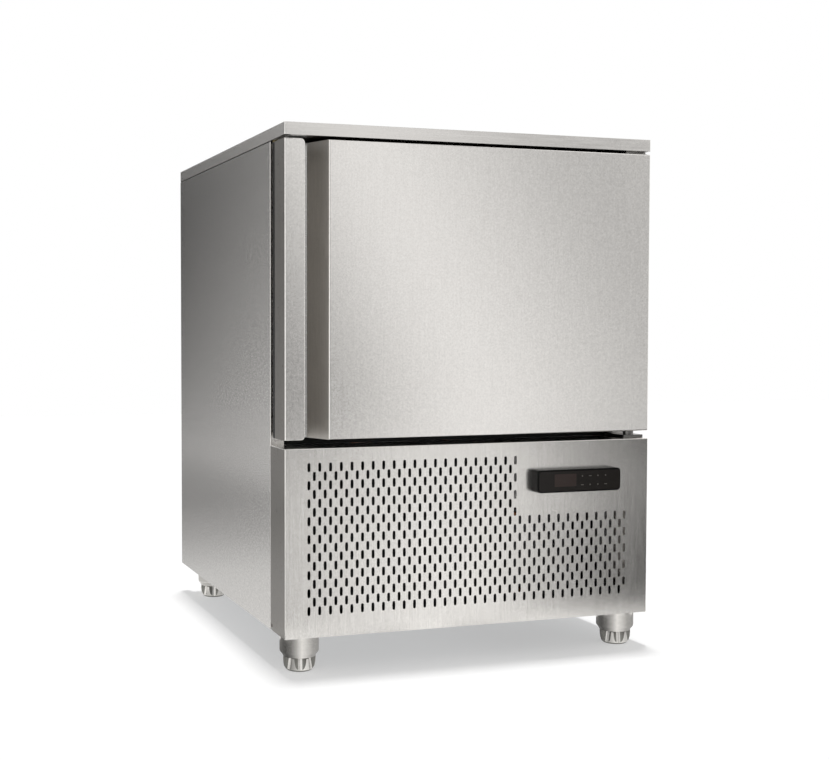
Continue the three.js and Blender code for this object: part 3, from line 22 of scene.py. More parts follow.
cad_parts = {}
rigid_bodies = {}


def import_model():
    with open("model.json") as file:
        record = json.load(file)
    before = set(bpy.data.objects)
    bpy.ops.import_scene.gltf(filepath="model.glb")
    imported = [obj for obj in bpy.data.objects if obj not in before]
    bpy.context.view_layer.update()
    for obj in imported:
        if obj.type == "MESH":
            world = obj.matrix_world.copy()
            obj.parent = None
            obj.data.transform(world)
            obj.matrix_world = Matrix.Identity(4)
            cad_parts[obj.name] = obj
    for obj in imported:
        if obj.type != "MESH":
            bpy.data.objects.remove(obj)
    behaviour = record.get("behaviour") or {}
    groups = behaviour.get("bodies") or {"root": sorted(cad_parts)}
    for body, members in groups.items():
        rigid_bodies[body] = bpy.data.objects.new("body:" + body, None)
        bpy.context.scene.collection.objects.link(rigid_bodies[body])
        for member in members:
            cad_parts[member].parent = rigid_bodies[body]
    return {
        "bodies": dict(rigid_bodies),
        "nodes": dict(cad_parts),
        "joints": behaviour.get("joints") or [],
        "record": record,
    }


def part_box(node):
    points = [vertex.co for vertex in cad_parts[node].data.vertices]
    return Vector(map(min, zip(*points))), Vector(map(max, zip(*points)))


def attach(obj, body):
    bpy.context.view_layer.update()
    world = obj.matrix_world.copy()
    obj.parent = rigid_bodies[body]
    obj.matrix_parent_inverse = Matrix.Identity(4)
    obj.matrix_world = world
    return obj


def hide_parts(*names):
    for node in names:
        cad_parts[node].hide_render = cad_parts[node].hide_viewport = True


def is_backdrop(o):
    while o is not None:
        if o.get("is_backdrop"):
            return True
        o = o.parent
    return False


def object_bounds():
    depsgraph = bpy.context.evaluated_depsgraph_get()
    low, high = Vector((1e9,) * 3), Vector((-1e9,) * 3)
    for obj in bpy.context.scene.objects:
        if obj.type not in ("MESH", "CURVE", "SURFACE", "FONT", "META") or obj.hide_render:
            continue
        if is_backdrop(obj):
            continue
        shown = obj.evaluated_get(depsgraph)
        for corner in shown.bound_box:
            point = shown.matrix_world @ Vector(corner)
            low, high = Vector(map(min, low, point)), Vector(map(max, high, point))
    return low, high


logging.basicConfig(level=logging.INFO, format="%(name)s: %(message)s")
log = logging.getLogger("blast chiller")

MM = 0.001
TOUCH = 1e-5  # metres within which two places count as the same
ALONG = 0.999  # least share of an edge's length along an axis for it to be parallel
FACING = 0.98  # least share of a face's normal along an axis for it to look that way
SHY = 0.05  # millimetres that a small piece keeps from the face it lies under

Box = tuple[Vector, Vector]


# ---------------------------------------------------------------- small tools for modelling


def deselect() -> None:
    """Deselects every object, since an operator acts on all that is selected."""
    bpy.ops.object.select_all(action="DESELECT")


def activate(piece: bpy.types.Object) -> None:
    """Makes one object the only selected one and the active one."""
    deselect()
    piece.select_set(True)
    bpy.context.view_layer.objects.active = piece


def settle(piece: bpy.types.Object) -> bpy.types.Object:
    """Moves an object's place into its mesh, so that its origin is the frame's."""
    activate(piece)
    bpy.ops.object.transform_apply(location=True, rotation=True, scale=True)
    return piece


@contextmanager
def editing(piece: bpy.types.Object, domain: str = "EDGE") -> Iterator[bmesh.types.BMesh]:
    """Edit mode on one piece with nothing selected.

    Args:
        piece: The mesh object to edit.
        domain: VERT, EDGE or FACE.

    Returns:
        The edit mesh, for choosing what is selected.
    """
    activate(piece)
    bpy.ops.object.mode_set(mode="EDIT")
    bpy.ops.mesh.select_mode(type=domain)
    bpy.ops.mesh.select_all(action="DESELECT")
    try:
        yield bmesh.from_edit_mesh(piece.data)
    finally:
        bpy.ops.object.mode_set(mode="OBJECT")


def pick(piece: bpy.types.Object, items: Iterable, test: Callable) -> int:
    """Selects the edit mesh's items that pass a test.

    Args:
        piece: The piece in edit mode.
        items: Its vertices, edges or faces.
        test: Says of one item whether it is selected.

    Returns:
        How many items passed.
    """
    count = 0
    for item in items:
        chosen = bool(test(item))
        item.select_set(chosen)
        count += chosen
    bmesh.update_edit_mesh(piece.data)
    return count


def runs_along(edge: bmesh.types.BMEdge, axis: int) -> bool:
    """Whether an edge is parallel to an axis, 0 for x, 1 for y and 2 for z."""
    way = edge.verts[1].co - edge.verts[0].co
    return abs(way[axis]) > ALONG * way.length


def at(item: bmesh.types.BMEdge, axis: int, place: float) -> bool:
    """Whether all of an edge's or face's corners lie at one coordinate."""
    return all(abs(v.co[axis] - place) < TOUCH for v in item.verts)


def at_wall(face: bpy.types.MeshPolygon, places: Sequence[float]) -> bool:
    """Whether a finished face's middle lies at one of some places along x."""
    return any(abs(face.center.x - place) < TOUCH for place in places)


def cuboid(name: str, low: Sequence[float], high: Sequence[float]) -> bpy.types.Object:
    """A block between two corners, ready to be shaped.

    Args:
        name: The object's name.
        low: Its lowest corner, in metres.
        high: Its highest corner.

    Returns:
        The block.
    """
    low, high = Vector(low), Vector(high)
    bpy.ops.mesh.primitive_cube_add(size=1, location=(low + high) / 2)
    piece = bpy.context.active_object
    piece.name = name
    piece.scale = high - low
    return settle(piece)


def drum(
    name: str, centre: Sequence[float], radius: float, length: float, axis: int = 2, sides: int = 48
) -> bpy.types.Object:
    """A closed cylinder about its middle, in metres.

    Args:
        name: The object's name.
        centre: Its middle.
        radius: Its radius.
        length: Its length along the axis.
        axis: 0 for x, 1 for y and 2 for z.
        sides: Vertices round it.

    Returns:
        The cylinder.
    """
    turn = ((0, math.pi / 2, 0), (math.pi / 2, 0, 0), (0, 0, 0))[axis]
    bpy.ops.mesh.primitive_cylinder_add(
        vertices=sides, radius=radius, depth=length, location=centre, rotation=turn
    )
    piece = bpy.context.active_object
    piece.name = name
    return settle(piece)


def bevel(piece: bpy.types.Object, width: float, segments: int, test: Callable) -> None:
    """Rounds the edges that pass a test.

    Args:
        piece: The piece.
        width: The bevel's width, in metres.
        segments: Faces across the bevel.
        test: Says of one edge whether it is rounded.
    """
    with editing(piece) as mesh:
        if pick(piece, mesh.edges, test):
            bpy.ops.mesh.bevel(offset=width, segments=segments, profile=0.5, affect="EDGES")


def finish_with(piece: bpy.types.Object, kind: str, **settings: object) -> None:
    """Adds a modifier and applies it.

    Args:
        piece: The piece.
        kind: The modifier's type name.
        settings: Its attributes.
    """
    activate(piece)
    modifier = piece.modifiers.new(kind.title(), kind)
    for name, value in settings.items():
        setattr(modifier, name, value)
    bpy.ops.object.modifier_apply(modifier=modifier.name)


def combine(piece: bpy.types.Object, tool: bpy.types.Object, operation: str) -> bpy.types.Object:
    """Cuts or joins a tool into a piece, and removes the tool.

    Args:
        piece: The piece that is kept.
        tool: The object that cuts or joins.
        operation: DIFFERENCE or UNION.

    Returns:
        The piece.
    """
    finish_with(piece, "BOOLEAN", object=tool, operation=operation, solver="EXACT")
    bpy.data.objects.remove(tool)
    return piece


def joined(name: str, pieces: Sequence[bpy.types.Object]) -> bpy.types.Object:
    """Joins separate meshes into one object.

    Args:
        name: The joined object's name.
        pieces: The meshes, the first of which is kept.

    Returns:
        The joined object.
    """
    deselect()
    for piece in pieces:
        piece.select_set(True)
    bpy.context.view_layer.objects.active = pieces[0]
    bpy.ops.object.join()
    pieces[0].name = name
    return pieces[0]


def copy_at(piece: bpy.types.Object, place: Matrix, name: str = "") -> bpy.types.Object:
    """A copy of a piece with a mesh of its own.

    Args:
        piece: The piece to copy.
        place: How the copy's mesh is moved or turned.
        name: The copy's name, if it needs one.

    Returns:
        The copy.
    """
    twin = piece.copy()
    twin.data = piece.data.copy()
    twin.data.transform(place)
    bpy.context.scene.collection.objects.link(twin)
    if name:
        twin.name = name
    return twin


def turned(
    name: str, profile: Sequence[tuple[float, float]], centre: Sequence[float], sides: int = 64
) -> bpy.types.Object:
    """A turned solid about an upright axis, made by extruding and scaling a circle upwards.

    Args:
        name: The object's name.
        profile: Radius and height of each ring, in metres, from the bottom up.
        centre: x and y of the axis.
        sides: Vertices round each ring.

    Returns:
        The closed solid.
    """
    radius, height = profile[0]
    middle = Vector((centre[0], centre[1], height))
    bpy.ops.mesh.primitive_circle_add(
        vertices=sides, radius=radius, fill_type="NGON", location=middle
    )
    piece = bpy.context.active_object
    piece.name = name
    settle(piece)
    with editing(piece) as mesh:
        pick(piece, mesh.edges, lambda edge: True)
        for (before, low), (after, high) in zip(profile, profile[1:]):
            bpy.ops.mesh.extrude_edges_move(TRANSFORM_OT_translate={"value": (0, 0, high - low)})
            share = after / before
            bpy.ops.transform.resize(value=(share, share, 1), center_override=(*middle.xy, high))
        bpy.ops.mesh.edge_face_add()
        bpy.ops.mesh.select_all(action="SELECT")
        bpy.ops.mesh.normals_make_consistent(inside=False)
    return piece


def smooth(piece: bpy.types.Object, degrees: float = 35) -> bpy.types.Object:
    """Shades a piece smooth across its flatter edges, and keeps its wide faces flat.

    Args:
        piece: The piece.
        degrees: The angle from which an edge stays sharp.

    Returns:
        The piece.
    """
    activate(piece)
    bpy.ops.object.shade_smooth_by_angle(angle=math.radians(degrees))
    finish_with(piece, "WEIGHTED_NORMAL", weight=100, keep_sharp=True)
    return piece


def second_finish(piece: bpy.types.Object, test: Callable) -> None:
    """Gives a dressed piece's second finish to the faces that pass a test."""
    for face in piece.data.polygons:
        face.material_index = int(test(face))


def about(place: Sequence[float], change: Matrix) -> Matrix:
    """A turn or a stretch made about a place and not about the origin."""
    here = Matrix.Translation(place)
    return here @ change @ here.inverted()


# ---------------------------------------------------------------- finishes


ROUGHNESS_SPREAD = 0.12  # how far the pattern moves the roughness, as a share of it
NOISE_LOW, NOISE_HIGH = 0.36, 0.64  # between which nearly all values of mixed noise lie


def linear(code: str) -> tuple[float, float, float, float]:
    """Turns an sRGB hex value into a linear colour."""
    parts = [int(code[i : i + 2], 16) / 255 for i in (1, 3, 5)]
    bent = [c / 12.92 if c <= 0.04045 else ((c + 0.055) / 1.055) ** 2.4 for c in parts]
    return (*bent, 1.0)


def empty_tree(owner: bpy.types.Material | bpy.types.World) -> bpy.types.NodeTree:
    """The cleared node tree of a new material or world."""
    owner.use_nodes = True
    owner.node_tree.nodes.clear()
    return owner.node_tree


def add_node(
    tree: bpy.types.NodeTree, kind: str, settings: dict | None = None, inputs: dict | None = None
) -> bpy.types.Node:
    """Adds a shader node.

    Args:
        tree: The node tree.
        kind: The node's type name.
        settings: Attributes of the node.
        inputs: Input name or index to a value, or to the output socket that feeds it.

    Returns:
        The node.
    """
    node = tree.nodes.new(kind)
    for name, value in (settings or {}).items():
        setattr(node, name, value)
    for name, value in (inputs or {}).items():
        if isinstance(value, bpy.types.NodeSocket):
            tree.links.new(value, node.inputs[name])
        else:
            node.inputs[name].default_value = value
    return node


class Grain(Enum):
    """The way a sheet's polishing lines run: how far the pattern is drawn out along x, y and z."""

    UPRIGHT = (1, 1, 0.035)
    ACROSS = (0.035, 1, 1)
    LEVEL = (1, 0.35, 1)
    ROUND = (0.1, 0.1, 1)


@dataclass(frozen=True)
class Finish:
    """What every finish has: its name, the record's slot and the plain values of its surface."""

    name: str
    slot: str
    colour: str
    second: str
    roughness: float
    metallic: float = 0.0
    grit: float = 2.0  # millimetres between the pattern's grains
    bump: float = 0.05
    depth: float = 0.05  # millimetres

    def pattern(self, tree: bpy.types.NodeTree, place: bpy.types.NodeSocket) -> bpy.types.NodeSocket:
        """The value from 0 to 1 that mixes the two colours: fine noise, as on a moulded face."""
        scale = 1 / (self.grit * MM)
        noise = add_node(
            tree, "ShaderNodeTexNoise", None,
            {"Vector": place, "Scale": scale, "Detail": 3.0, "Roughness": 0.6},
        )
        return noise.outputs["Fac"]

    def extras(self, shader: bpy.types.Node) -> None:
        """Sets the sockets that only some finishes need."""

    def build(self) -> bpy.types.Material:
        """Makes the material."""
        material = bpy.data.materials.new(self.name)
        tree = empty_tree(material)
        place = add_node(tree, "ShaderNodeTexCoord").outputs["Object"]
        pattern = self.pattern(tree, place)
        colour = add_node(
            tree, "ShaderNodeMix", {"data_type": "RGBA"},
            {"Factor": pattern, 6: linear(self.colour), 7: linear(self.second)},
        )
        spread = ROUGHNESS_SPREAD * self.roughness
        rough = add_node(
            tree, "ShaderNodeMapRange", None,
            {"Value": pattern, "To Min": self.roughness - spread, "To Max": self.roughness + spread},
        )
        bump = add_node(
            tree, "ShaderNodeBump", None,
            {"Strength": self.bump, "Distance": self.depth * MM, "Height": pattern},
        )
        shader = add_node(
            tree, "ShaderNodeBsdfPrincipled", None,
            {
                "Base Color": colour.outputs[2], "Roughness": rough.outputs["Result"],
                "Metallic": self.metallic, "Normal": bump.outputs["Normal"],
            },
        )
        self.extras(shader)
        add_node(tree, "ShaderNodeOutputMaterial", None, {"Surface": shader.outputs["BSDF"]})
        return material


@dataclass(frozen=True)
class SatinStainless(Finish):
    """Stainless sheet polished with a fine belt: hairlines one way, and a faint cloudy mottle."""

    metallic: float = 1.0
    grain: Grain = Grain.UPRIGHT
    cloud: float = 6.0  # millimetres between the mottle's clouds
    mottle: float = 0.4  # share of the mottle in the pattern, against the hairlines

    def pattern(self, tree: bpy.types.NodeTree, place: bpy.types.NodeSocket) -> bpy.types.NodeSocket:
        """Hairlines drawn out along the grain, mixed with the mottle."""
        drawn = add_node(
            tree, "ShaderNodeMapping", None, {"Vector": place, "Scale": self.grain.value}
        )
        lines = add_node(
            tree, "ShaderNodeTexNoise", None,
            {"Vector": drawn.outputs["Vector"], "Scale": 1 / (self.grit * MM), "Detail": 4.0},
        )
        clouds = add_node(
            tree, "ShaderNodeTexNoise", None,
            {"Vector": place, "Scale": 1 / (self.cloud * MM), "Detail": 4.0, "Roughness": 0.75},
        )
        both = add_node(
            tree, "ShaderNodeMix", None,
            {"Factor": self.mottle, 2: lines.outputs["Fac"], 3: clouds.outputs["Fac"]},
        )
        plain = add_node(
            tree, "ShaderNodeMapRange", None,
            {"Value": both.outputs[0], "From Min": NOISE_LOW, "From Max": NOISE_HIGH},
        )
        return plain.outputs["Result"]


@dataclass(frozen=True)
class GalvanisedSheet(Finish):
    """Hot-dip galvanised sheet: large flat zinc crystals, each a little lighter or darker."""

    metallic: float = 0.9

    def pattern(self, tree: bpy.types.NodeTree, place: bpy.types.NodeSocket) -> bpy.types.NodeSocket:
        """One value for each zinc crystal."""
        cells = add_node(
            tree, "ShaderNodeTexVoronoi", {"feature": "F1"},
            {"Vector": place, "Scale": 1 / (self.grit * MM), "Randomness": 1.0},
        )
        grey = add_node(tree, "ShaderNodeRGBToBW", None, {"Color": cells.outputs["Color"]})
        return grey.outputs["Val"]


@dataclass(frozen=True)
class FinStock(Finish):
    """A pack of thin aluminium fins: upright bright edges, with painted shade in the gaps between them.
    """

    metallic: float = 0.8

    def pattern(self, tree: bpy.types.NodeTree, place: bpy.types.NodeSocket) -> bpy.types.NodeSocket:
        """A wave across x, one crest for each fin."""
        crest = 2 * math.pi / 20  # the wave node repeats every pi / 10 of its coordinate
        waves = add_node(
            tree, "ShaderNodeTexWave", {"bands_direction": "X"},
            {"Vector": place, "Scale": crest / (self.grit * MM), "Distortion": 0.0},
        )
        return waves.outputs["Fac"]


@dataclass(frozen=True)
class GlossOverlay(Finish):
    """A dark plastic face whose sheen is held down by an anti-glare coating."""

    gloss: float = 0.2  # the plain plastic's 0.5 with the coating taken off

    def extras(self, shader: bpy.types.Node) -> None:
        """The weakened sheen."""
        shader.inputs["Specular IOR Level"].default_value = self.gloss


# Satin stainless sheet of the door: belt-polished, with a fine cloudy mottle.
SHEET = SatinStainless(
    "satin_stainless_sheet", "satin_steel", "#e5e2de", "#faf7f3", 0.2, cloud=3.6, mottle=0.8,
    bump=0.008,
)
# The sides' sheet, with a coarser mottle drawn out a little from front to rear.
SIDE_SHEET = SatinStainless(
    "satin_stainless_side", "satin_steel", "#dfdcd8", "#f5f2ee", 0.2, grain=Grain.LEVEL, grit=3.6,
    cloud=8.0, mottle=0.2, bump=0.008,
)
# The front panel: the same sheet with its upright polishing lines plainly seen.
PANEL_SHEET = SatinStainless(
    "belt_polished_stainless", "satin_steel", "#e0ddd8", "#f6f3ef", 0.22, cloud=3.2, mottle=0.6,
    bump=0.008,
)
# The same sheet with its polishing lines from side to side: the worktop.
WORKTOP_SHEET = SatinStainless(
    "satin_stainless_worktop", "satin_steel", "#e4e1dd", "#f3f0ec", 0.24, grain=Grain.ACROSS,
    bump=0.005,
)
# Bright satin stainless of the chamber, kept smooth for wiping.
CHAMBER_SHEET = SatinStainless(
    "bright_stainless_chamber", "chamber_steel", "#cfcfcd", "#dedddb", 0.26, grain=Grain.ACROSS,
    bump=0.015,
)
# The inner wall of the grip's groove: unpolished mill sheet, dull, and dark only for its shade.
GROOVE_SHEET = SatinStainless(
    "mill_finish_stainless", "satin_steel", "#cfcbc6", "#dcd8d3", 0.46, bump=0.015
)
# Turned and polished stainless tube of the legs, with faint rings left by the tool.
TURNED_STEEL = SatinStainless(
    "turned_stainless_leg", "satin_steel", "#d9d6d1", "#e4e1dc", 0.12, grain=Grain.ROUND, grit=1.2,
    bump=0.015,
)
# The feet's ribs and soles: brighter than the tube, and ground a little rougher.
POLISHED_STEEL = SatinStainless(
    "polished_stainless_foot", "satin_steel", "#e6e3de", "#f0ede8", 0.32, grain=Grain.ROUND,
    grit=1.2, bump=0.015,
)
# The outer walls of the grip and the front panel: the same sheet, painted darker as the shade that falls
# on these side faces.
SHADED_SIDE_SHEET = SatinStainless(
    "painted_shade_stainless", "satin_steel", "#7f7b76", "#8d8984", 0.3, bump=0.015
)
# The hollows of the feet: dull, and darker than the ribs as painted shade in the flutes.
SHADED_HOLLOW_STEEL = Finish("painted_shade_hollow", "dark_steel", "#93928d", "#a09f9a", 0.62, metallic=0.95, grit=1)
# Machined steel of hinges, screws and wires.
MACHINED_STEEL = SatinStainless(
    "machined_steel", "dark_steel", "#8f8d8a", "#9c9a97", 0.32, grain=Grain.ROUND, grit=1.0, bump=0.015
)
# Browned steel of small screws: almost black, with a trace of red.
BROWNED_STEEL = Finish(
    "browned_steel_screw", "dark_steel", "#3a2522", "#4a302b", 0.35, metallic=0.8, grit=1
)
# Hot-dip galvanised sheet of the back, base and boxes: a dull grey spangle some 14 mm across.
ZINC = GalvanisedSheet("galvanised_sheet", "galvanised_sheet", "#9ea2a5", "#b7babb", 0.42, grit=14)
# Aluminium fins of the evaporator.
FINS = FinStock(
    "aluminium_fin_stock", "fin_aluminium", "#3a3c3e", "#c9cbcc", 0.4, grit=2.4, bump=0.4, depth=0.6
)
# Fins of the condenser, dipped in black lacquer to shed heat, and near pure black as painted shade
# behind the front slots.
SHADED_BLACK_FINS = FinStock(
    "shaded_lacquered_fin_stock", "fin_aluminium", "#020202", "#0b0b0c", 0.6, metallic=0.0, grit=2.4,
    bump=0.4, depth=0.6,
)
# Drawn copper tube: bright, and tarnished in slow patches.
COPPER = Finish("drawn_copper_tube", "copper", "#a9683f", "#c4835a", 0.28, metallic=1.0, grit=18)
# Sprayed lacquer on pressed steel: nearly black, with a fine orange-peel surface.
LACQUER = Finish(
    "black_lacquered_steel", "black_lacquer", "#141517", "#1d1e20", 0.42, grit=1.6, bump=0.15
)
# Moulded ABS: black, with the fine grain of an etched mould that holds its sheen down; on the mouth's
# frame and the door pan's rim its black is painted shade.
BLACK_ABS_AND_SHADE = GlossOverlay(
    "black_abs_and_painted_shade", "black_plastic", "#070605", "#0b0a09", 0.22, grit=0.8, bump=0.06, gloss=0.12
)
# Polyester film over the controller's face: smooth, dark and evenly glossy.
OVERLAY = GlossOverlay("polyester_overlay", "lens", "#1d1916", "#241f1b", 0.14, grit=3, gloss=0.25)
# The display window: a red-tinted filter, dark while the display is off.
FILTER = GlossOverlay("red_display_filter", "lens", "#372b27", "#3e302c", 0.1, grit=3, gloss=0.3)
# Screen-printed ink of the touch keys: a flat grey.
KEY_PRINT = Finish("grey_printed_ink", "lens", "#57544d", "#625f58", 0.5, grit=1)
# Moulded EPDM_AND_SHADE of the gasket and of the strip behind each worktop seam: black, soft-looking and
# dull; on that strip the black is painted shade.
EPDM_AND_SHADE = Finish("gasket_rubber_and_painted_shade", "gasket_rubber", "#101011", "#19191a", 0.6, grit=1.4, bump=0.1)
# Natural nylon as turned: off-white and waxy.
NYLON = Finish("natural_nylon", "nylon", "#dcd9d0", "#e6e3dc", 0.42, grit=2.2)
# Rigid grey PVC of the drain pipe and the gland: even, with a low sheen.
GREY_PVC = Finish("grey_pvc", "grey_plastic", "#4d5154", "#565a5d", 0.45, grit=2)
# Poured polyurethane foam: straw-coloured, matt and pitted by its cells.
FOAM = Finish("polyurethane_foam", "foam", "#cdb982", "#e2d3a1", 0.9, grit=3, bump=0.4, depth=0.4)
# Film-faced ply that stiffens the worktop, with a faint mesh: near black as painted shade for the dark
# underside of the worktop.
SHADED_BOARD = Finish("painted_shade_ply", "board", "#241d18", "#2d241e", 0.5, grit=2.5, bump=0.2)


class Wardrobe:
    """Builds each finish once and dresses pieces in it."""

    def __init__(self) -> None:
        """Starts with no finish built."""
        self.built: dict[str, bpy.types.Material] = {}

    def material(self, finish: Finish) -> bpy.types.Material:
        """The finish's material, built when first asked for."""
        if finish.name not in self.built:
            self.built[finish.name] = finish.build()
        return self.built[finish.name]

    def dress(self, piece: bpy.types.Object, finish: Finish, *more: Finish) -> None:
        """Gives a new piece its finishes.

        Args:
            piece: The piece.
            finish: Its finish.
            more: Further finishes, for faces chosen afterwards.
        """
        piece.data.materials.clear()
        for each in (finish, *more):
            piece.data.materials.append(self.material(each))

    def dress_node(self, node: bpy.types.Object, finish: Finish) -> None:
        """Gives a CAD node, which keeps its mesh, the finish of its real material."""
        node.data.materials.clear()
        node.data.materials.append(self.material(finish))


WARDROBE = Wardrobe()


def place_piece(
    piece: bpy.types.Object, body: str, finish: Finish, *nodes: str, more: Sequence[Finish] = ()
) -> None:
    """Dresses a finished piece, fixes it to its body and lets it stand for CAD nodes.

    Args:
        piece: The modelled piece.
        body: The CAD body it moves with.
        finish: Its finish.
        nodes: The CAD nodes it stands for, if any.
        more: Further finishes for faces that have a material index of their own.
    """
    WARDROBE.dress(piece, finish, *more)
    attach(piece, body)
    if nodes:
        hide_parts(*nodes)
    log.info("%s rides on %s", piece.name, body)


def screw_head(
    place: Sequence[float], radius: float, height: float, side: int
) -> bpy.types.Object:
    """A low round screw head with a cross recess, seated under a face that looks along x.

    Args:
        place: Middle of the head's top, in metres.
        radius: Radius of the head.
        height: Its height.
        side: -1 where it faces -x and 1 where it faces x.

    Returns:
        The head.
    """
    slot_half, slot_reach = 0.16, 0.6  # of the recess's arms, as shares of the radius
    middle = (place[0] - side * (height / 2 + SHY * MM), place[1], place[2])
    name = f"flange_screw_{'left' if side < 0 else 'right'}"
    head = drum(name, middle, radius, height, axis=0, sides=24)
    outer = place[0] - side * SHY * MM
    bevel(head, height / 2, 2, lambda e: at(e, 0, outer))
    spot = Vector((outer, place[1], place[2]))
    for across, along in ((slot_half, slot_reach), (slot_reach, slot_half)):
        reach = Vector((height / 2, radius * across, radius * along))
        combine(head, cuboid("recess", spot - reach, spot + reach), "DIFFERENCE")
    return smooth(head)


# ---------------------------------------------------------------- cabinet


@dataclass
class Cabinet:
    """The outer sheets of the cabinet and the face round the chamber's mouth."""

    sheet: float = 1.2
    fold: float = 2.2  # outside radius of a folded edge
    worktop_return: float = 15
    worktop_edge: float = 4  # radius of the side folds
    worktop_ease: float = 0.6  # front and rear folds, as a share of a folded edge's radius
    return_gap: float = 0.4  # worktop's return to the board inside it
    side_fold: float = 1  # outside radius of the side sheets' folds
    reveal: float = 2  # open seam between a side sheet and the worktop
    shade_strip_height: float = 6  # height of the black strip of painted shade behind that seam
    shade_strip_back: float = 4  # side sheet to the strip's inner face
    panel_ease: float = 0.8  # front panel's folds, as a share of a folded edge's radius
    rear_fold: float = 20
    bottom_return: float = 18
    slot_width: float = 6.4
    slot_length: float = 17.6
    punch_length: float = 6  # in thicknesses of the sheet
    column_step: float = 11.05
    row_step: float = 34.9
    slots_left: float = 48.5
    slots_right: float = 54
    slots_top: float = 36.7
    slots_bottom: float = 50
    blank_beside: float = 32
    blank_under: float = 46
    notch_length: float = 12
    notch_height: float = 5
    notch_round: float = 0.9  # share of its height
    overshoot: float = 10  # how far a cutting block passes the sheet
    screw_inset: tuple[float, float] = (8, 9)  # from the flange's rear edge and from its foot
    screw: tuple[float, float] = (3.2, 0.5)  # radius and height of the head
    countersink: tuple[float, float] = (4.4, 1.2)  # radius and length of the cutter
    mouth_corner: float = 20
    body: str = "cabinet"

    def build(self) -> None:
        """Makes every outer sheet."""
        self.worktop()
        self.side_panel("left_side_panel", -1)
        self.side_panel("right_side_panel", 1)
        self.vent_panel()
        self.front_frame()

    def worktop(self) -> None:
        """A folded pan with eased edges, and a return all round its underside."""
        low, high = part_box("worktop")
        pan = cuboid("worktop_pan", low, high)
        bevel(pan, self.fold * MM, 4, lambda e: runs_along(e, 2))
        bevel(pan, self.worktop_edge * MM, 4, lambda e: at(e, 2, high.z) and runs_along(e, 1))
        ease = self.fold * MM * self.worktop_ease
        bevel(pan, ease, 3, lambda e: at(e, 2, high.z) and runs_along(e, 0))
        lift = (self.sheet + self.return_gap) * MM
        with editing(pan, "FACE") as mesh:
            pick(pan, mesh.faces, lambda f: at(f, 2, low.z))
            bpy.ops.mesh.inset(thickness=self.worktop_return * MM)
            bpy.ops.mesh.extrude_region_move(TRANSFORM_OT_translate={"value": (0, 0, lift)})
        place_piece(smooth(pan), self.body, WORKTOP_SHEET, "worktop")

    def side_panel(self, node: str, side: int) -> None:
        """A side sheet with its front and rear folds, and the black strip of painted shade behind its
        upper seam.

        Args:
            node: The CAD node it stands for.
            side: -1 for the left panel and 1 for the right one.
        """
        low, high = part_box(node)
        outer, inner = (low.x, high.x) if side < 0 else (high.x, low.x)
        self.painted_shade_strip(f"{node}_tape", outer, side, low, high)
        high.z -= self.reveal * MM
        panel = cuboid(f"{node}_sheet", low, high)
        trim = (abs(high.x - low.x) - self.rear_fold * MM) * side
        with editing(panel, "FACE") as mesh:
            pick(panel, mesh.faces, lambda f: at(f, 0, inner) or at(f, 2, low.z) or at(f, 2, high.z))
            bpy.ops.mesh.delete(type="FACE")
        with editing(panel, "VERT") as mesh:
            pick(
                panel, mesh.verts,
                lambda v: abs(v.co.x - inner) < TOUCH and abs(v.co.y - high.y) < TOUCH,
            )
            bpy.ops.transform.translate(value=(trim, 0, 0))
        bevel(panel, self.side_fold * MM, 4, lambda e: runs_along(e, 2) and at(e, 0, outer))
        finish_with(panel, "SOLIDIFY", thickness=self.sheet * MM, offset=-1)
        place_piece(smooth(panel), self.body, SIDE_SHEET, node)

    def painted_shade_strip(self, name: str, outer: float, side: int, low: Vector, high: Vector) -> None:
        """A black strip under the worktop, close behind a side sheet's upper edge: painted shade, so
        that the open seam shows dark.

        Args:
            name: The tape's name.
            outer: The side sheet's outer face along x, in metres.
            side: -1 for the left sheet and 1 for the right one.
            low: Lowest corner of the CAD panel.
            high: Its highest corner.
        """
        face, back = (outer - side * (self.sheet + gap) * MM for gap in (SHY, self.shade_strip_back))
        shade_strip = cuboid(
            name, (min(face, back), low.y, high.z - self.shade_strip_height * MM),
            (max(face, back), high.y, high.z),
        )
        place_piece(shade_strip, self.body, EPDM_AND_SHADE)

    def slot_centres(self, low: Vector, high: Vector) -> list[tuple[float, float]]:
        """The x and z of each slot's middle: one staggered lattice, blank round the controller.

        Args:
            low: Lowest corner of the vent panel.
            high: Its highest corner.

        Returns:
            A list of places in metres.
        """
        control_low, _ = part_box("controller_housing")
        blank_x = control_low.x - self.blank_beside * MM
        blank_z = control_low.z - self.blank_under * MM
        width, height = (high.x - low.x) / MM, (high.z - low.z) / MM
        columns = int((width - self.slots_left - self.slots_right) // self.column_step) + 1
        rows = int((height - self.slots_top - self.slots_bottom) // self.row_step) + 1
        centres = []
        for column in range(columns):
            shifted = column % 2
            x = low.x + (self.slots_left + column * self.column_step) * MM
            for row in range(rows - shifted):
                z = high.z - (self.slots_top + (row + shifted / 2) * self.row_step) * MM
                if x < blank_x or z < blank_z:
                    centres.append((x, z))
        return centres

    def slot_punch(self, centres: Sequence[tuple[float, float]], front: float) -> bpy.types.Object:
        """One tool with a round-ended punch at each place.

        Args:
            centres: The x and z of each slot's middle, in metres.
            front: The panel's face along y.

        Returns:
            The tool.
        """
        radius = self.slot_width * MM / 2
        stretch = (self.slot_length - self.slot_width) * MM / 2
        length = self.punch_length * self.sheet * MM
        punch = drum("slot_punch", (0, front, 0), radius, length, axis=1, sides=12)
        for sign in (-1, 1):
            with editing(punch, "VERT") as mesh:
                pick(punch, mesh.verts, lambda v: v.co.z * sign > TOUCH)
                bpy.ops.transform.translate(value=(0, 0, sign * stretch))
        twins = [copy_at(punch, Matrix.Translation((x, 0, z))) for x, z in centres]
        bpy.data.objects.remove(punch)
        return joined("slot_punches", twins)

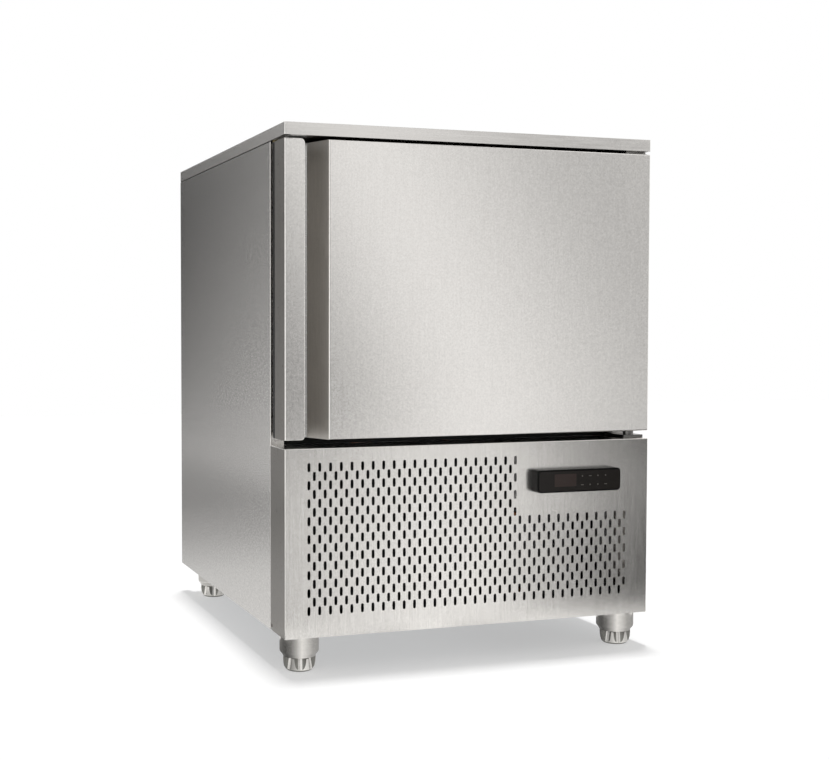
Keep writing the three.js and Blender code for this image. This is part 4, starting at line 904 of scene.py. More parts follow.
    def vent_panel(self) -> None:
        """The perforated front pan, folded on all four sides, with a notch at each flange's foot."""
        low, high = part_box("front_vent_panel")
        pan = cuboid("vent_pan", low, high)
        with editing(pan, "FACE") as mesh:
            pick(pan, mesh.faces, lambda f: at(f, 1, high.y) or at(f, 2, low.z))
            bpy.ops.mesh.delete(type="FACE")
        bevel(
            pan, self.fold * MM * self.panel_ease, 3,
            lambda e: at(e, 1, low.y) or (at(e, 2, high.z) and runs_along(e, 1)),
        )
        wall = self.sheet * MM
        finish_with(pan, "SOLIDIFY", thickness=wall, offset=-1)
        fold = cuboid(
            "vent_bottom_fold",
            (low.x + wall / 2, low.y + wall / 2, low.z),
            (high.x - wall / 2, low.y + self.bottom_return * MM, low.z + wall),
        )
        combine(pan, fold, "UNION")
        for x in (low.x, high.x):
            combine(pan, self.notch_block(x, low, high), "DIFFERENCE")
        for x, side in ((low.x, -1), (high.x, 1)):
            place = (x, high.y - self.screw_inset[0] * MM, low.z + self.screw_inset[1] * MM)
            radius, length = (size * MM for size in self.countersink)
            sink = drum("countersink", place, radius, length, axis=0, sides=32)
            combine(pan, sink, "DIFFERENCE")
            radius, height = (size * MM for size in self.screw)
            place_piece(screw_head(place, radius, height, side), self.body, BROWNED_STEEL)
        combine(pan, self.slot_punch(self.slot_centres(low, high), low.y), "DIFFERENCE")
        smooth(pan, 30)
        place_piece(pan, self.body, PANEL_SHEET, "front_vent_panel", more=(SHADED_SIDE_SHEET,))
        # The side flanges take the darker sheet: painted shade.
        walls = (low.x, high.x)
        second_finish(pan, lambda f: abs(f.normal.x) > FACING and at_wall(f, walls))

    def notch_block(self, x: float, low: Vector, high: Vector) -> bpy.types.Object:
        """The block that cuts one flange's notch, rounded where the notch ends.

        Args:
            x: The flange's outer face, in metres.
            low: Lowest corner of the vent panel.
            high: Its highest corner.

        Returns:
            The block.
        """
        reach = self.overshoot * MM
        top = low.z + self.notch_height * MM
        notch = cuboid(
            "notch",
            (x - reach, high.y - self.notch_length * MM, low.z - reach),
            (x + reach, high.y + reach, top),
        )
        bevel(
            notch, self.notch_height * self.notch_round * MM, 5,
            lambda e: runs_along(e, 0) and at(e, 2, top) and e.verts[0].co.y < high.y,
        )
        return notch

    def front_frame(self) -> None:
        """The frame that the gasket lands on, with a round-cornered opening, black as painted shade in
        the gaps round the door.
        """
        low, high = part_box("front_frame")
        mouth_low, mouth_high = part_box("chamber_liner")
        wall = self.sheet * MM
        frame = cuboid("gasket_landing_frame", low, high)
        mouth = cuboid(
            "mouth",
            (mouth_low.x + wall, low.y - wall, mouth_low.z + wall),
            (mouth_high.x - wall, high.y + wall, mouth_high.z - wall),
        )
        bevel(mouth, self.mouth_corner * MM, 8, lambda e: runs_along(e, 1))
        combine(frame, mouth, "DIFFERENCE")
        # The frame's black is painted shade for the gaps round the door.
        place_piece(smooth(frame), self.body, BLACK_ABS_AND_SHADE, "front_frame")


# ---------------------------------------------------------------- door


@dataclass
class Door:
    """The full-width door: its skin with a leaning left wall, the hooked grip and the inner pan."""

    edge: float = 2.6  # radius of the folded edges
    slant: float = 24
    lip: float = 20
    grip_wall: float = 18
    grip_corner: float = 8.5
    overshoot: float = 5  # how far the pocket's cutter passes the grip
    lean_facing: float = 0.8  # least share of -x in the leaning wall's normal
    dart_depth: float = 5.5  # gasket's dart, from its tip to the inner pan's rear face
    field_margin: float = 40  # gasket's outer edge to the raised field
    field_root: float = 2  # how far the field starts inside the pan
    field_corner: float = 20
    field_edge: float = 4
    body: str = "door"

    def build(self) -> None:
        """Makes the skin, the grip and the inner pan."""
        self.skin()
        self.grip()
        self.inner_pan()

    def skin(self) -> None:
        """A deep pan whose left wall leans back under its face, dark inside the groove."""
        low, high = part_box("door_skin")
        front_left = low.x + self.slant * MM
        skin = cuboid("door_outer_skin", (front_left, low.y, low.z), high)
        with editing(skin, "VERT") as mesh:
            pick(
                skin, mesh.verts,
                lambda v: abs(v.co.x - front_left) < TOUCH and abs(v.co.y - high.y) < TOUCH,
            )
            bpy.ops.transform.translate(value=(low.x - front_left, 0, 0))
        bevel(
            skin, self.edge * MM, 4,
            lambda e: at(e, 1, low.y) or (runs_along(e, 1) and at(e, 0, high.x)),
        )
        place_piece(smooth(skin), self.body, SHEET, "door_skin", more=(GROOVE_SHEET,))
        second_finish(skin, lambda f: f.normal.x < -self.lean_facing)

    def grip(self) -> None:
        """The upright grip: a wall at the edge and a lip that the fingers hook behind."""
        low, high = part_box("door_handle")
        grip = cuboid("door_grip", low, high)
        reach = self.overshoot * MM
        wall_x, lip_y = low.x + self.grip_wall * MM, low.y + self.lip * MM
        pocket = cuboid(
            "pocket", (wall_x, lip_y, low.z - reach), (high.x + reach, high.y + reach, high.z + reach)
        )
        bevel(
            pocket, self.edge * MM, 3,
            lambda e: runs_along(e, 2) and at(e, 0, wall_x) and at(e, 1, lip_y),
        )
        combine(grip, pocket, "DIFFERENCE")
        bevel(grip, self.grip_corner * MM, 7, lambda e: runs_along(e, 1) and at(e, 0, high.x))
        bevel(
            grip, self.edge * MM, 4,
            lambda e: at(e, 1, low.y) or (runs_along(e, 2) and at(e, 0, high.x)),
        )
        place_piece(smooth(grip), self.body, SHEET, "door_handle", more=(SHADED_SIDE_SHEET,))
        # The grip's left wall takes the darker sheet: painted shade.
        second_finish(grip, lambda f: f.normal.x < -FACING)

    def inner_pan(self) -> None:
        """The flat inner pan, edged in black as painted shade, with a raised, round-cornered field."""
        low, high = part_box("door_liner")
        seal_low, seal_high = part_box("door_gasket")
        plate_back = seal_low.y + self.dart_depth * MM
        pan = cuboid("door_inner_pan", low, (high.x, plate_back, high.z))
        margin = self.field_margin * MM
        field_block = cuboid(
            "raised_field",
            (seal_low.x + margin, plate_back - self.field_root * MM, seal_low.z + margin),
            (seal_high.x - margin, high.y, seal_high.z - margin),
        )
        bevel(field_block, self.field_corner * MM, 8, lambda e: runs_along(e, 1))
        bevel(field_block, self.field_edge * MM, 4, lambda e: at(e, 1, high.y))
        combine(pan, field_block, "UNION")

        def on_shaded_rim(face: bpy.types.MeshPolygon) -> bool:
            """Whether a face belongs to the pan's outer rim, which is black as painted shade."""
            if abs(face.normal.x) > FACING:
                return at_wall(face, (low.x, high.x))
            ends = (abs(face.center.z - low.z), abs(face.center.z - high.z))
            return abs(face.normal.z) > FACING and min(ends) < TOUCH

        place_piece(smooth(pan), self.body, CHAMBER_SHEET, "door_liner", more=(BLACK_ABS_AND_SHADE,))
        second_finish(pan, on_shaded_rim)


# ---------------------------------------------------------------- controller


@dataclass
class Controller:
    """The black control strip: a housing proud of the panel, its overlay, window and touch keys."""

    corner: float = 8
    edge: float = 2.6
    lens_corner: float = 5
    window: tuple[float, float] = (50, 26)
    window_left: float = 38  # housing's left edge to the window
    window_raise: float = 1.5  # window's middle above the housing's
    window_corner: float = 1.5
    key_columns: int = 4
    key_rows: int = 2
    key_step: tuple[float, float] = (18, 18)
    key_right: float = 36  # last key's middle to the right edge
    key_marks: tuple[tuple[int, float, float], ...] = (
        (24, 1.6, 1.6), (4, 4.6, 1.2), (3, 2.6, 2.6),
    )  # sides, half width and half height of a dot, a bar and an arrow head
    print_height: float = 0.12
    prints_in_front: float = 2.5  # print heights kept free before the housing
    body: str = "cabinet"

    def build(self) -> None:
        """Makes the housing, the overlay, the window and the key prints."""
        low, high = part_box("controller_housing")
        low.y += self.prints_in_front * self.print_height * MM
        front_high = Vector((high.x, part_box("front_vent_panel")[0].y, high.z))
        housing = cuboid("controller_body", low, front_high)
        bevel(housing, self.corner * MM, 6, lambda e: runs_along(e, 1))
        bevel(housing, self.edge * MM, 4, lambda e: at(e, 1, low.y))
        place_piece(smooth(housing), self.body, BLACK_ABS_AND_SHADE, "controller_housing")
        self.overlay(low, high)
        self.keys(low, high)

    def overlay(self, low: Vector, high: Vector) -> None:
        """The glossy overlay with its display window."""
        lens_low, lens_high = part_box("controller_lens")
        thin = self.print_height * MM
        lens = cuboid("controller_overlay", (lens_low.x, low.y - thin, lens_low.z), lens_high)
        bevel(lens, self.lens_corner * MM, 5, lambda e: runs_along(e, 1))
        place_piece(smooth(lens), self.body, OVERLAY, "controller_lens")
        width, height = self.window
        middle = (low.z + high.z) / 2 + self.window_raise * MM
        left = low.x + self.window_left * MM
        window = cuboid(
            "display_window",
            (left, low.y - 2 * thin, middle - height * MM / 2),
            (left + width * MM, low.y - thin / 2, middle + height * MM / 2),
        )
        bevel(window, self.window_corner * MM, 3, lambda e: runs_along(e, 1))
        place_piece(smooth(window), self.body, FILTER)

    def keys(self, low: Vector, high: Vector) -> None:
        """Eight printed touch keys: plain dots, bars and arrows."""
        front = low.y - self.print_height * MM
        middle = (low.z + high.z) / 2
        step_x, step_z = (s * MM for s in self.key_step)
        prints = []
        for row in range(self.key_rows):
            for column in range(self.key_columns):
                x = high.x - self.key_right * MM - (self.key_columns - 1 - column) * step_x
                z = middle + ((self.key_rows - 1) / 2 - row) * step_z
                prints.append(self.key_print(x, front, z, row * self.key_columns + column))
        place_piece(joined("touch_key_prints", prints), self.body, KEY_PRINT)

    def key_print(self, x: float, y: float, z: float, number: int) -> bpy.types.Object:
        """One printed mark: a dot, a bar or an arrow head in turn.

        Args:
            x: Its middle, in metres.
            y: The overlay's face.
            z: Its middle.
            number: Its place in the row of keys.

        Returns:
            The mark.
        """
        sides, width, height = self.key_marks[number % len(self.key_marks)]
        mark = drum("mark", (x, y, z), MM, 2 * self.print_height * MM, axis=1, sides=sides)
        if sides == 4:
            mark.data.transform(about((x, y, z), Matrix.Rotation(math.pi / 4, 4, "Y")))
        mark.data.transform(about((x, y, z), Matrix.Diagonal((width, 1, height, 1))))
        return mark


# ---------------------------------------------------------------- chamber


@dataclass
class Chamber:
    """What shows inside with the door open: the tray racks and the fan's wire guard."""

    post_round: float = 3
    post_end: float = 0.6  # rounding of a post's two ends
    post_inset: float = 40
    post_width: float = 30
    ledge: float = 2
    ledge_corner: float = 5
    ledge_edge: float = 0.5
    pitch: float = 75
    foot: float = 9
    levels: int = 5
    grip: float = 13  # from a ledge's free edge to the post's face
    wire: float = 1.5  # radius of the guard's wires
    rings: int = 9
    spokes: int = 6
    plate_share: float = 0.14  # middle plate's radius, as a share of the outer ring's
    plate_edge: float = 0.6  # rounding of its edge, in wire radii
    spoke_middle: float = 0.56  # as a share of the outer ring's radius
    spoke_length: float = 0.88  # as a share of the outer ring's radius
    spoke_behind: float = 1.4  # spokes behind the rings' plane, in wire radii
    guard_foot: float = 1.6  # a foot's radius, in wire radii
    body: str = "cabinet"

    def build(self) -> None:
        """Makes both racks and the guard."""
        self.rack("left_tray_rack", -1)
        self.rack("right_tray_rack", 1)
        self.guard()

    def rack(self, node: str, side: int) -> None:
        """Two square tubes with rounded edges, and a flat ledge with rounded ends at each level.

        Args:
            node: The CAD node it stands for.
            side: -1 for the left rack and 1 for the right one.
        """
        low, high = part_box(node)
        free, wall = (high.x, low.x) if side < 0 else (low.x, high.x)
        face = free + side * self.grip * MM
        parts = []
        for y in (low.y + self.post_inset * MM, high.y - self.post_inset * MM):
            half = self.post_width * MM / 2
            post = cuboid(
                "post", (min(face, wall), y - half, low.z), (max(face, wall), y + half, high.z)
            )
            bevel(post, self.post_round * MM, 4, lambda e: runs_along(e, 2))
            bevel(post, self.post_end * MM, 2, lambda e: at(e, 2, high.z) or at(e, 2, low.z))
            parts.append(post)
        rack = combine(parts[0], parts[1], "UNION")
        rack.name = f"{node}_tubes_and_ledges"
        seat = face + side * self.ledge * MM
        for level in range(self.levels):
            z = low.z + (self.foot + level * self.pitch) * MM
            top = z + self.ledge * MM
            ledge = cuboid("ledge", (min(free, seat), low.y, z), (max(free, seat), high.y, top))
            bevel(ledge, self.ledge_corner * MM, 4, lambda e: runs_along(e, 2) and at(e, 0, free))
            bevel(ledge, self.ledge_edge * MM, 2, lambda e: at(e, 2, top))
            combine(rack, ledge, "UNION")
        place_piece(smooth(rack), self.body, CHAMBER_SHEET, node)

    def guard(self) -> None:
        """Wire rings on radial wires, with a plate in the middle and feet on the baffle."""
        low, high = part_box("evaporator_guard")
        middle = (low + high) / 2
        wire = self.wire * MM
        outer = (high.x - low.x) / 2 - wire
        plane = low.y + wire
        parts = []
        for ring in range(self.rings):
            radius = outer * (ring + 2) / (self.rings + 1)
            bpy.ops.mesh.primitive_torus_add(
                location=(middle.x, plane, middle.z), rotation=(math.pi / 2, 0, 0),
                major_radius=radius, minor_radius=wire, major_segments=64, minor_segments=8,
            )
            parts.append(settle(bpy.context.active_object))
        radius = outer * self.plate_share
        plate = drum("plate", (middle.x, plane, middle.z), radius, 2 * wire, axis=1)
        bevel(plate, wire * self.plate_edge, 2, lambda e: at(e, 1, plane - wire))
        parts.append(plate)
        depth = high.y - plane
        hub = (middle.x, plane + self.spoke_behind * wire, middle.z)
        for spoke in range(self.spokes):
            turn = Matrix.Rotation(2 * math.pi * spoke / self.spokes, 4, "Y")
            here = Matrix.Translation(hub) @ turn
            reach, length = outer * self.spoke_middle, outer * self.spoke_length
            bar = drum("spoke", (0, 0, reach), wire, length, sides=10)
            bar.data.transform(here)
            radius = wire * self.guard_foot
            foot = drum("foot", (0, depth / 2 - wire, outer), radius, depth, axis=1, sides=12)
            foot.data.transform(here)
            parts += [bar, foot]
        guard = joined("evaporator_wire_guard", parts)
        place_piece(smooth(guard), self.body, MACHINED_STEEL, "evaporator_guard")


# ---------------------------------------------------------------- legs and feet


class Corner(Enum):
    """The four corners that a leg stands at."""

    FRONT_LEFT = "front_left"
    FRONT_RIGHT = "front_right"
    REAR_LEFT = "rear_left"
    REAR_RIGHT = "rear_right"


@dataclass
class Leg:
    """A turned leg with a tapered end, and the fluted levelling foot that screws out of it."""

    corner: Corner
    radius: float = 39
    ring_radius: float = 32.5
    ring_profile: tuple[tuple[float, float], ...] = (
        (-1.2, 0), (0, 0.7), (0.3, 2.4),
    )  # out from the ring's radius and up from the tube's end
    shoulder_start: tuple[float, float] = (0.5, 2.6)  # the same two, where the shoulder begins
    shoulder_steps: int = 8
    shoulder_end: float = 1.5  # height in which the shoulder runs out above its top
    straight: float = 33
    top_edge: float = 0.8
    bore: float = 8.3
    bore_length: float = 60
    play: float = 0.4  # between the tube's end and the cup
    foot_radius: float = 32.5
    sole_radius: float = 24
    sole_edge: float = 1.5
    cup_edge: float = 0.5
    cup_profile: tuple[tuple[float, float], ...] = (
        (0.84, 0.13), (0.93, 0.3), (0.98, 0.55), (1, 0.85),
    )  # shares of the foot's radius and of the cup's height
    flutes: int = 7
    flute_radius: float = 13.5
    flute_depth: float = 9.5  # at the top; it runs out at the sole
    flute_lean: float = 11  # degrees
    flute_turn: float = -104  # degrees from x to the first flute
    hollow_from: float = 0.4  # share of the foot's radius inside which nothing is a hollow
    hollow_level: float = 0.95  # share of z in a normal from which a face lies flat
    hollow_facing: float = 0.84  # share of outward in a normal from which a face is a rib's
    stem_radius: float = 8
    stem_root: float = 8  # how far the stem starts inside the cup
    sides: int = 70

    def build(self) -> None:
        """Makes the leg and its foot."""
        self.tube()
        self.foot()

    def tube(self) -> None:
        """The tube: straight above, then a round shoulder that draws in to the end ring."""
        node = f"leg_{self.corner.value}"
        low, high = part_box(node)
        centre = ((low.x + high.x) / 2, (low.y + high.y) / 2)
        shoulder = high.z - self.straight * MM
        r, ring = self.radius * MM, self.ring_radius * MM
        drop = shoulder - low.z
        profile = [(ring + out * MM, low.z + up * MM) for out, up in self.ring_profile]
        out, up = (size * MM for size in self.shoulder_start)
        for step in range(1, self.shoulder_steps):
            part = step / self.shoulder_steps
            angle = part * math.pi / 2
            share = (1 - math.cos(angle) + math.sin(angle)) / 2
            profile.append((ring + out + (r - ring - out) * share, low.z + up + (drop - up) * part))
        edge = self.top_edge * MM
        profile += [(r, shoulder + self.shoulder_end * MM), (r, high.z - edge), (r - edge, high.z)]
        tube = turned(f"{node}_tube", profile, centre, self.sides)
        length = self.bore_length * MM
        bore = drum("bore", (*centre, low.z), self.bore * MM, length, sides=32)
        combine(tube, bore, "DIFFERENCE")
        place_piece(smooth(tube, 40), "cabinet", TURNED_STEEL, node)

    def foot(self) -> None:
        """The foot: a turned cup with hollow flutes between thin ribs, on a plain stem."""
        node = f"foot_{self.corner.value}"
        low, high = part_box(node)
        leg_low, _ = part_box(f"leg_{self.corner.value}")
        centre = ((low.x + high.x) / 2, (low.y + high.y) / 2)
        top = leg_low.z - self.play * MM
        r, sole = self.foot_radius * MM, self.sole_radius * MM
        tall = top - low.z
        edge = self.cup_edge * MM
        profile = [
            (sole - self.sole_edge * MM, low.z), (sole, low.z + edge),
            *((r * share, low.z + tall * up) for share, up in self.cup_profile),
            (r, top - edge), (r - edge, top),
        ]
        foot = turned(f"{node}_cup", profile, centre, self.sides)
        reach = r - self.flute_depth * MM + self.flute_radius * MM
        cutter = drum("flute", (reach, 0, 0), self.flute_radius * MM, 3 * tall, sides=40)
        lean = about((reach, 0, 0), Matrix.Rotation(-math.radians(self.flute_lean), 4, "Y"))
        for i in range(self.flutes):
            angle = 2 * math.pi * i / self.flutes + math.radians(self.flute_turn)
            around = Matrix.Rotation(angle, 4, "Z")
            place = Matrix.Translation((*centre, top)) @ around @ lean
            combine(foot, copy_at(cutter, place, "flute_cutter"), "DIFFERENCE")
        bpy.data.objects.remove(cutter)
        root = self.stem_root * MM
        stem = drum(
            "stem", (*centre, (top + high.z) / 2 - root / 2), self.stem_radius * MM,
            high.z - top + root, sides=32,
        )
        combine(foot, stem, "UNION")

        def in_hollow(face: bpy.types.MeshPolygon) -> bool:
            """Whether a face belongs to a flute's hollow, and not to a rib or the sole."""
            outward = Vector((face.center.x - centre[0], face.center.y - centre[1], 0))
            if outward.length <= self.hollow_from * r or abs(face.normal.z) >= self.hollow_level:
                return False
            return face.normal.dot(outward.normalized()) < self.hollow_facing

        place_piece(
            smooth(foot, 28), f"{self.corner.value}_foot", POLISHED_STEEL, node, more=(SHADED_HOLLOW_STEEL,)
        )
        # The flutes' hollows take the darker steel: painted shade.
        second_finish(foot, in_hollow)


# ---------------------------------------------------------------- nodes that keep their mesh


NODE_FINISHES: dict[str, Finish] = {
    "worktop_core": SHADED_BOARD,
    "back_panel": ZINC,
    "rear_vent_cover": ZINC,
    "base_pan": ZINC,
    "cabinet_insulation": FOAM,
    "compartment_ceiling": ZINC,
    "chamber_liner": CHAMBER_SHEET,
    "probe_holder": NYLON,
    "core_probe": MACHINED_STEEL,
    "fan_baffle": CHAMBER_SHEET,
    "evaporator_fan": BLACK_ABS_AND_SHADE,
    "evaporator_motor": LACQUER,
    "evaporator_coil": FINS,
    "evaporator_drip_tray": CHAMBER_SHEET,
    "drain_pipe": GREY_PVC,
    "condenser_coil": SHADED_BLACK_FINS,
    "condenser_shroud": LACQUER,
    "compressor": LACQUER,
    "compressor_terminal_cover": BLACK_ABS_AND_SHADE,
    "liquid_receiver": LACQUER,
    "filter_drier": COPPER,
    "condenser_fan": BLACK_ABS_AND_SHADE,
    "condenser_motor": LACQUER,
    "suction_pipe": COPPER,
    "discharge_pipe": COPPER,
    "condensate_pipe": COPPER,
    "liquid_pipe": COPPER,
    "electrical_box": ZINC,
    "electrical_box_lid": ZINC,
    "cable_gland": GREY_PVC,
    "lower_hinge": MACHINED_STEEL,
    "upper_hinge": MACHINED_STEEL,
    "door_insulation": FOAM,
    "door_gasket": EPDM_AND_SHADE,
    "lower_door_bush": NYLON,
    "upper_door_bush": NYLON,
}


def dress_nodes(nodes: dict[str, bpy.types.Object]) -> None:
    """Dresses the CAD nodes that keep their mesh in their real materials; the worktop's board and the
    condenser's fins are near black as painted shade.
    """
    for name, finish in NODE_FINISHES.items():
        WARDROBE.dress_node(nodes[name], finish)
        log.info("%s keeps its mesh, in %s", name, finish.name)


# ---------------------------------------------------------------- studio and camera


class Hang(Enum):
    """How a smoked gel hangs: which way its plane is turned from lying flat."""

    FLAT = (0, 0, 0)
    UPRIGHT = (math.pi / 2, 0, 0)
    ENDWISE = (0, math.pi / 2, 0)


@dataclass(frozen=True)
class Gel:
    """A smoked gel that only reflections pass through, so the steel mirrors a shaded studio.

    The smoke is graded across the gel's own ridge, a straight line from its start in its
    direction, and given as pairs of distance from the ridge and the light let through. A fan
    is graded by the angle from the ridge about its start. Lengths are metres, angles radians.
    """

    name: str
    hang: Hang
    low: tuple[float, float, float]
    high: tuple[float, float, float]
    start: tuple[float, float, float]
    direction: tuple[float, float, float]
    across: tuple[float, float, float]
    steps: tuple[tuple[float, float], ...]
    fan: bool = False

    def build(self) -> None:
        """Hangs the gel and keeps it out of all but reflections."""
        low, high = Vector(self.low), Vector(self.high)
        bpy.ops.mesh.primitive_plane_add(
            size=1, location=(low + high) / 2, rotation=self.hang.value
        )
        gel = bpy.context.active_object
        gel.name = self.name
        size = high - low
        gel.scale = (
            size.z if self.hang is Hang.ENDWISE else size.x,
            size.z if self.hang is Hang.UPRIGHT else size.y, 1,
        )
        settle(gel)
        gel.data.materials.append(self.material())
        gel.visible_camera = False
        gel.visible_diffuse = False
        gel.visible_transmission = False
        gel.visible_shadow = False
        gel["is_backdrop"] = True

    def material(self) -> bpy.types.Material:
        """Clear film smoked by the distance from the ridge."""
        material = bpy.data.materials.new(f"{self.name}_film")
        tree = empty_tree(material)
        place = add_node(tree, "ShaderNodeTexCoord").outputs["Object"]
        from_start = add_node(
            tree, "ShaderNodeVectorMath", {"operation": "SUBTRACT"}, {0: place, 1: self.start}
        )
        beside = add_node(
            tree, "ShaderNodeVectorMath", {"operation": "DOT_PRODUCT"},
            {0: from_start.outputs["Vector"], 1: self.across},
        ).outputs["Value"]
        if self.fan:
            along = add_node(
                tree, "ShaderNodeVectorMath", {"operation": "DOT_PRODUCT"},
                {0: from_start.outputs["Vector"], 1: self.direction},
            )
            beside = add_node(
                tree, "ShaderNodeMath", {"operation": "ARCTAN2"}, {0: beside, 1: along.outputs["Value"]}
            ).outputs["Value"]
        first, last = self.steps[0][0], self.steps[-1][0]
        share = add_node(
            tree, "ShaderNodeMapRange", None, {"Value": beside, "From Min": first, "From Max": last}
        )
        ramp = add_node(tree, "ShaderNodeValToRGB", None, {"Fac": share.outputs["Result"]})
        stops = ramp.color_ramp.elements
        while len(stops) < len(self.steps):
            stops.new(0.5)
        for stop, (distance, light) in zip(stops, self.steps):
            stop.position = (distance - first) / (last - first)
            stop.color = (light, light, light, 1)
        surface = self.surface(tree, ramp.outputs["Color"])
        add_node(tree, "ShaderNodeOutputMaterial", None, {"Surface": surface})
        return material

    def surface(self, tree: bpy.types.NodeTree, light: bpy.types.NodeSocket) -> bpy.types.NodeSocket:
        """Film that lets the graded light through."""
        return add_node(tree, "ShaderNodeBsdfTransparent", None, {"Color": light}).outputs["BSDF"]


@dataclass(frozen=True)
class Card(Gel):
    """A grey card, graded in the same way, that the steel mirrors in place of the floor."""

    def surface(self, tree: bpy.types.NodeTree, light: bpy.types.NodeSocket) -> bpy.types.NodeSocket:
        """Card that shows the graded grey."""
        return add_node(tree, "ShaderNodeEmission", None, {"Color": light}).outputs["Emission"]


# What the door and its grip mirror: light down a leaning band, and falling off to both sides.
FRONT_GEL = Gel(
    "front_gel", Hang.UPRIGHT, (-2.6, -3.4, 0.14), (5.5, -3.4, 4.2),
    start=(1.14, -3.4, 0.9), direction=(0.469, 0, -0.883), across=(0.883, 0, 0.469),
    steps=((-2.0, 1.0), (-1.25, 0.12), (-0.79, 0.25), (-0.6, 0.41), (-0.38, 0.64), (-0.16, 0.9),
           (0.06, 0.98), (0.28, 0.85), (0.72, 0.61), (0.94, 0.46), (1.4, 0.52), (2.2, 1.0)),
)
# What the front panel mirrors: the floor before it, light in the middle and dark to the right.
FLOOR_GEL = Gel(
    "floor_gel", Hang.FLAT, (-2.6, -2.3, 0.012), (5.5, -0.72, 0.012),
    start=(-1.152, 1.972, 0.012), direction=(0.4226, -0.9063, 0), across=(0.9063, 0.4226, 0),
    steps=((-0.52, 1.0), (-0.3, 0.42), (-0.14, 0.56), (-0.06, 0.86), (0.02, 0.92), (0.066, 0.5),
           (0.1, 0.22), (0.15, 0.05), (0.5, 0.05)),
    fan=True,
)
# The far floor and the front gel's foot, lighter at the right, where the door's foot mirrors them.
FAR_FLOOR_GEL = replace(
    FLOOR_GEL, name="far_floor_gel", low=(-2.6, -3.38, 0.012), high=(5.5, -2.3, 0.012),
    steps=((-0.48, 1.0), (-0.3, 0.4), (-0.14, 0.56), (-0.06, 0.86), (0.02, 0.92), (0.066, 0.72),
           (0.1, 0.6), (0.15, 0.52), (0.3, 0.5), (0.5, 1.0)),
)
LOW_FRONT_GEL = replace(
    FAR_FLOOR_GEL, name="low_front_gel", hang=Hang.UPRIGHT, low=(-2.6, -3.4, 0.02),
    high=(5.5, -3.4, 0.14),
)
# A small gel close before the front panel, which shades its upper right end.
PANEL_GEL = Gel(
    "panel_gel", Hang.UPRIGHT, (-0.42, -0.458, 0.05), (0.6, -0.458, 0.447),
    start=(0.4, -0.458, 0.44), direction=(-0.8, 0, 0.6), across=(0.6, 0, 0.8),
    steps=((-0.32, 1.0), (-0.2, 0.88), (-0.12, 0.64), (-0.06, 0.5), (0.0, 0.33), (0.1, 0.28)),
)
# What the left side mirrors: a wall beside the cabinet, darker upwards and to the rear.
SIDE_GEL = Gel(
    "side_gel", Hang.ENDWISE, (-1.3, 1.3, 0.02), (-1.3, 40.0, 1.9),
    start=(-1.3, 4.37, 1.28), direction=(0, 0.88, -0.47), across=(0, -0.47, -0.88),
    steps=((-1.5, 0.0), (0.0, 0.05), (1.0, 0.24), (2.0, 0.5), (3.0, 0.66)),
)
# The floor at the left, which the foot of the left side mirrors.
LEFT_FLOOR_GEL = Gel(
    "left_floor_gel", Hang.FLAT, (-1.29, -0.1, 0.012), (-0.42, 6.9, 0.012),
    start=(-0.42, 0.4, 0.012), direction=(0, -1, 0), across=(0, -1, 0),
    steps=((-1.6, 0.24), (-0.8, 0.38), (-0.2, 0.58), (0.5, 0.66)),
)
# What each front leg mirrors: a bright stripe towards the camera, and dark to its left.
LEFT_LEG_CARD = Card(
    "left_leg_card", Hang.FLAT, (-0.66, -0.7, 0.003), (-0.05, -0.14, 0.003),
    start=(-0.355, -0.377, 0.003), direction=(-0.06, -0.998, 0), across=(0.998, -0.06, 0),
    steps=((-2.5, 0.19), (-1.66, 0.1), (-1.05, 0.22), (-0.52, 0.53), (0.0, 1.0), (0.52, 0.75),
           (1.13, 0.47), (1.97, 0.39)),
    fan=True,
)
RIGHT_LEG_CARD = replace(
    LEFT_LEG_CARD, name="right_leg_card", low=(0.05, -0.7, 0.003), high=(0.66, -0.14, 0.003),
    start=(0.355, -0.377, 0.003), direction=(-0.2855, -0.9586, 0), across=(0.9586, -0.2855, 0),
)


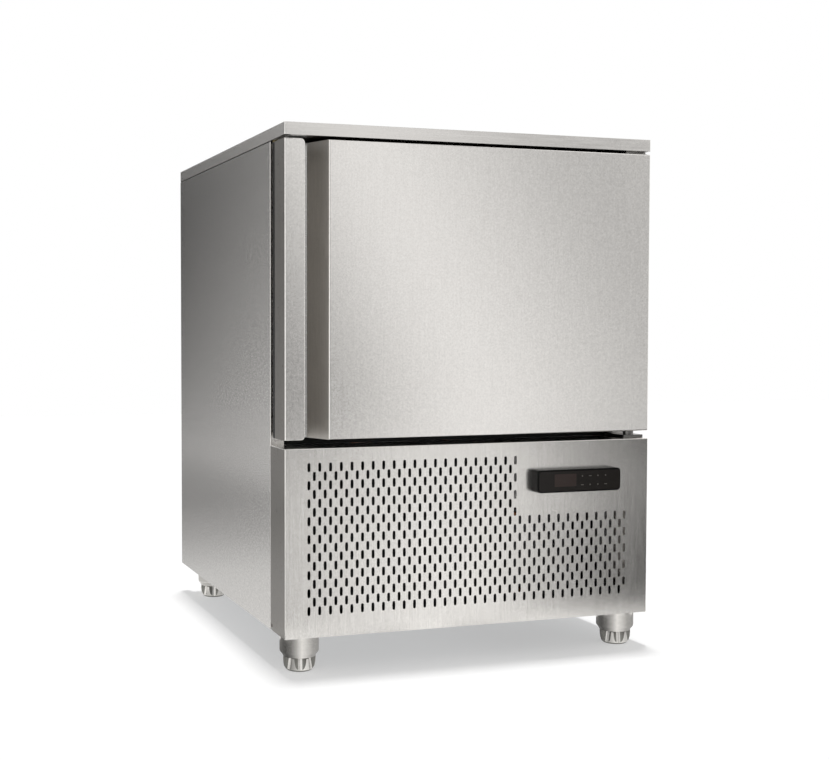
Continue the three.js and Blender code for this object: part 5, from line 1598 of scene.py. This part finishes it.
@dataclass
class Studio:
    """A white sweep with soft light from above, in metres."""

    floor_reach: float = 14.0
    floor_colour: str = "#cbcbcb"
    floor_glow: float = 0.42
    ambient: float = 0.42
    sun: float = 2.0
    sun_angle: float = 4.5  # degrees
    sun_from: tuple[float, float, float] = (0.02, 0.06, 1.0)
    gels: tuple[Gel, ...] = (
        FRONT_GEL, LOW_FRONT_GEL, FAR_FLOOR_GEL, FLOOR_GEL, PANEL_GEL, SIDE_GEL, LEFT_FLOOR_GEL,
        LEFT_LEG_CARD, RIGHT_LEG_CARD,
    )

    def build(self) -> None:
        """Makes the floor, the world, the lamp and the gels."""
        self.floor()
        self.world()
        self.overhead()
        for gel in self.gels:
            gel.build()

    def seen(self, tree: bpy.types.NodeTree) -> bpy.types.NodeSocket:
        """One where the camera, metal or glass looks, and zero where light is only gathered."""
        rays = add_node(tree, "ShaderNodeLightPath")
        looked = add_node(
            tree, "ShaderNodeMath", {"operation": "ADD", "use_clamp": True},
            {0: rays.outputs["Is Camera Ray"], 1: rays.outputs["Is Glossy Ray"]},
        )
        return add_node(
            tree, "ShaderNodeMath", {"operation": "ADD", "use_clamp": True},
            {0: looked.outputs[0], 1: rays.outputs["Is Transmission Ray"]},
        ).outputs[0]

    def floor(self) -> None:
        """A pale floor that shows white where no shadow falls."""
        bpy.ops.mesh.primitive_plane_add(size=self.floor_reach)
        floor = bpy.context.active_object
        floor.name = "studio_floor"
        material = bpy.data.materials.new("white_studio_floor")
        tree = empty_tree(material)
        strength = add_node(
            tree, "ShaderNodeMath", {"operation": "MULTIPLY"},
            {0: self.seen(tree), 1: self.floor_glow},
        )
        glow = add_node(tree, "ShaderNodeEmission", None, {"Strength": strength.outputs[0]})
        matt = add_node(tree, "ShaderNodeBsdfDiffuse", None, {"Color": linear(self.floor_colour)})
        both = add_node(
            tree, "ShaderNodeAddShader", None, {0: glow.outputs[0], 1: matt.outputs[0]}
        )
        add_node(tree, "ShaderNodeOutputMaterial", None, {"Surface": both.outputs[0]})
        floor.data.materials.append(material)
        floor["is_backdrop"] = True

    def world(self) -> None:
        """White where the camera, metal and glass look past the floor, and plain soft light."""
        world = bpy.data.worlds.new("studio")
        bpy.context.scene.world = world
        tree = empty_tree(world)
        strength = add_node(
            tree, "ShaderNodeMapRange", None,
            {"Value": self.seen(tree), "To Min": self.ambient, "To Max": 1.0},
        )
        sky = add_node(
            tree, "ShaderNodeBackground", None,
            {"Color": linear("#ffffff"), "Strength": strength.outputs["Result"]},
        )
        add_node(tree, "ShaderNodeOutputWorld", None, {"Surface": sky.outputs[0]})

    def overhead(self) -> None:
        """A broad lamp above, for the soft floor shadow close round the cabinet."""
        bpy.ops.object.light_add(type="SUN", location=self.sun_from)
        lamp = bpy.context.active_object
        lamp.name = "overhead_lamp"
        lamp.data.energy = self.sun
        lamp.data.angle = math.radians(self.sun_angle)
        lamp.rotation_euler = Vector(self.sun_from).to_track_quat("Z", "Y").to_euler()


@dataclass
class Viewpoint:
    """The photograph's point of view, fitted to the object's measured corners, in metres."""

    place: tuple[float, float, float] = (-1.15187, -2.82570, 0.67682)
    turn_right: float = 18.50  # degrees from straight back
    tilt_down: float = 2.37  # degrees
    lens: float = 57.27
    shift_x: float = 0.126

    def build(self) -> None:
        """Makes the camera."""
        bpy.ops.object.camera_add(
            location=self.place,
            rotation=(math.radians(90 - self.tilt_down), 0, math.radians(-self.turn_right)),
        )
        camera = bpy.context.active_object
        camera.data.lens = self.lens
        camera.data.shift_x = self.shift_x
        bpy.context.scene.camera = camera


def corners(box: Box) -> list[list[float]]:
    """A box as plain lists of numbers."""
    return [list(box[0]), list(box[1])]


def main() -> list[list[float]]:
    """Builds the scene around the frame.

    Returns:
        The CAD model's box, as two corners.
    """
    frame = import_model()
    cad_box = corners(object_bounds())
    bpy.context.scene.view_settings.view_transform = "Standard"
    Viewpoint().build()
    Studio().build()
    Cabinet().build()
    Door().build()
    Controller().build()
    Chamber().build()
    for corner in Corner:
        Leg(corner).build()
    dress_nodes(frame["nodes"])
    return cad_box


if __name__ == "__main__":
    CAD_BOX = main()
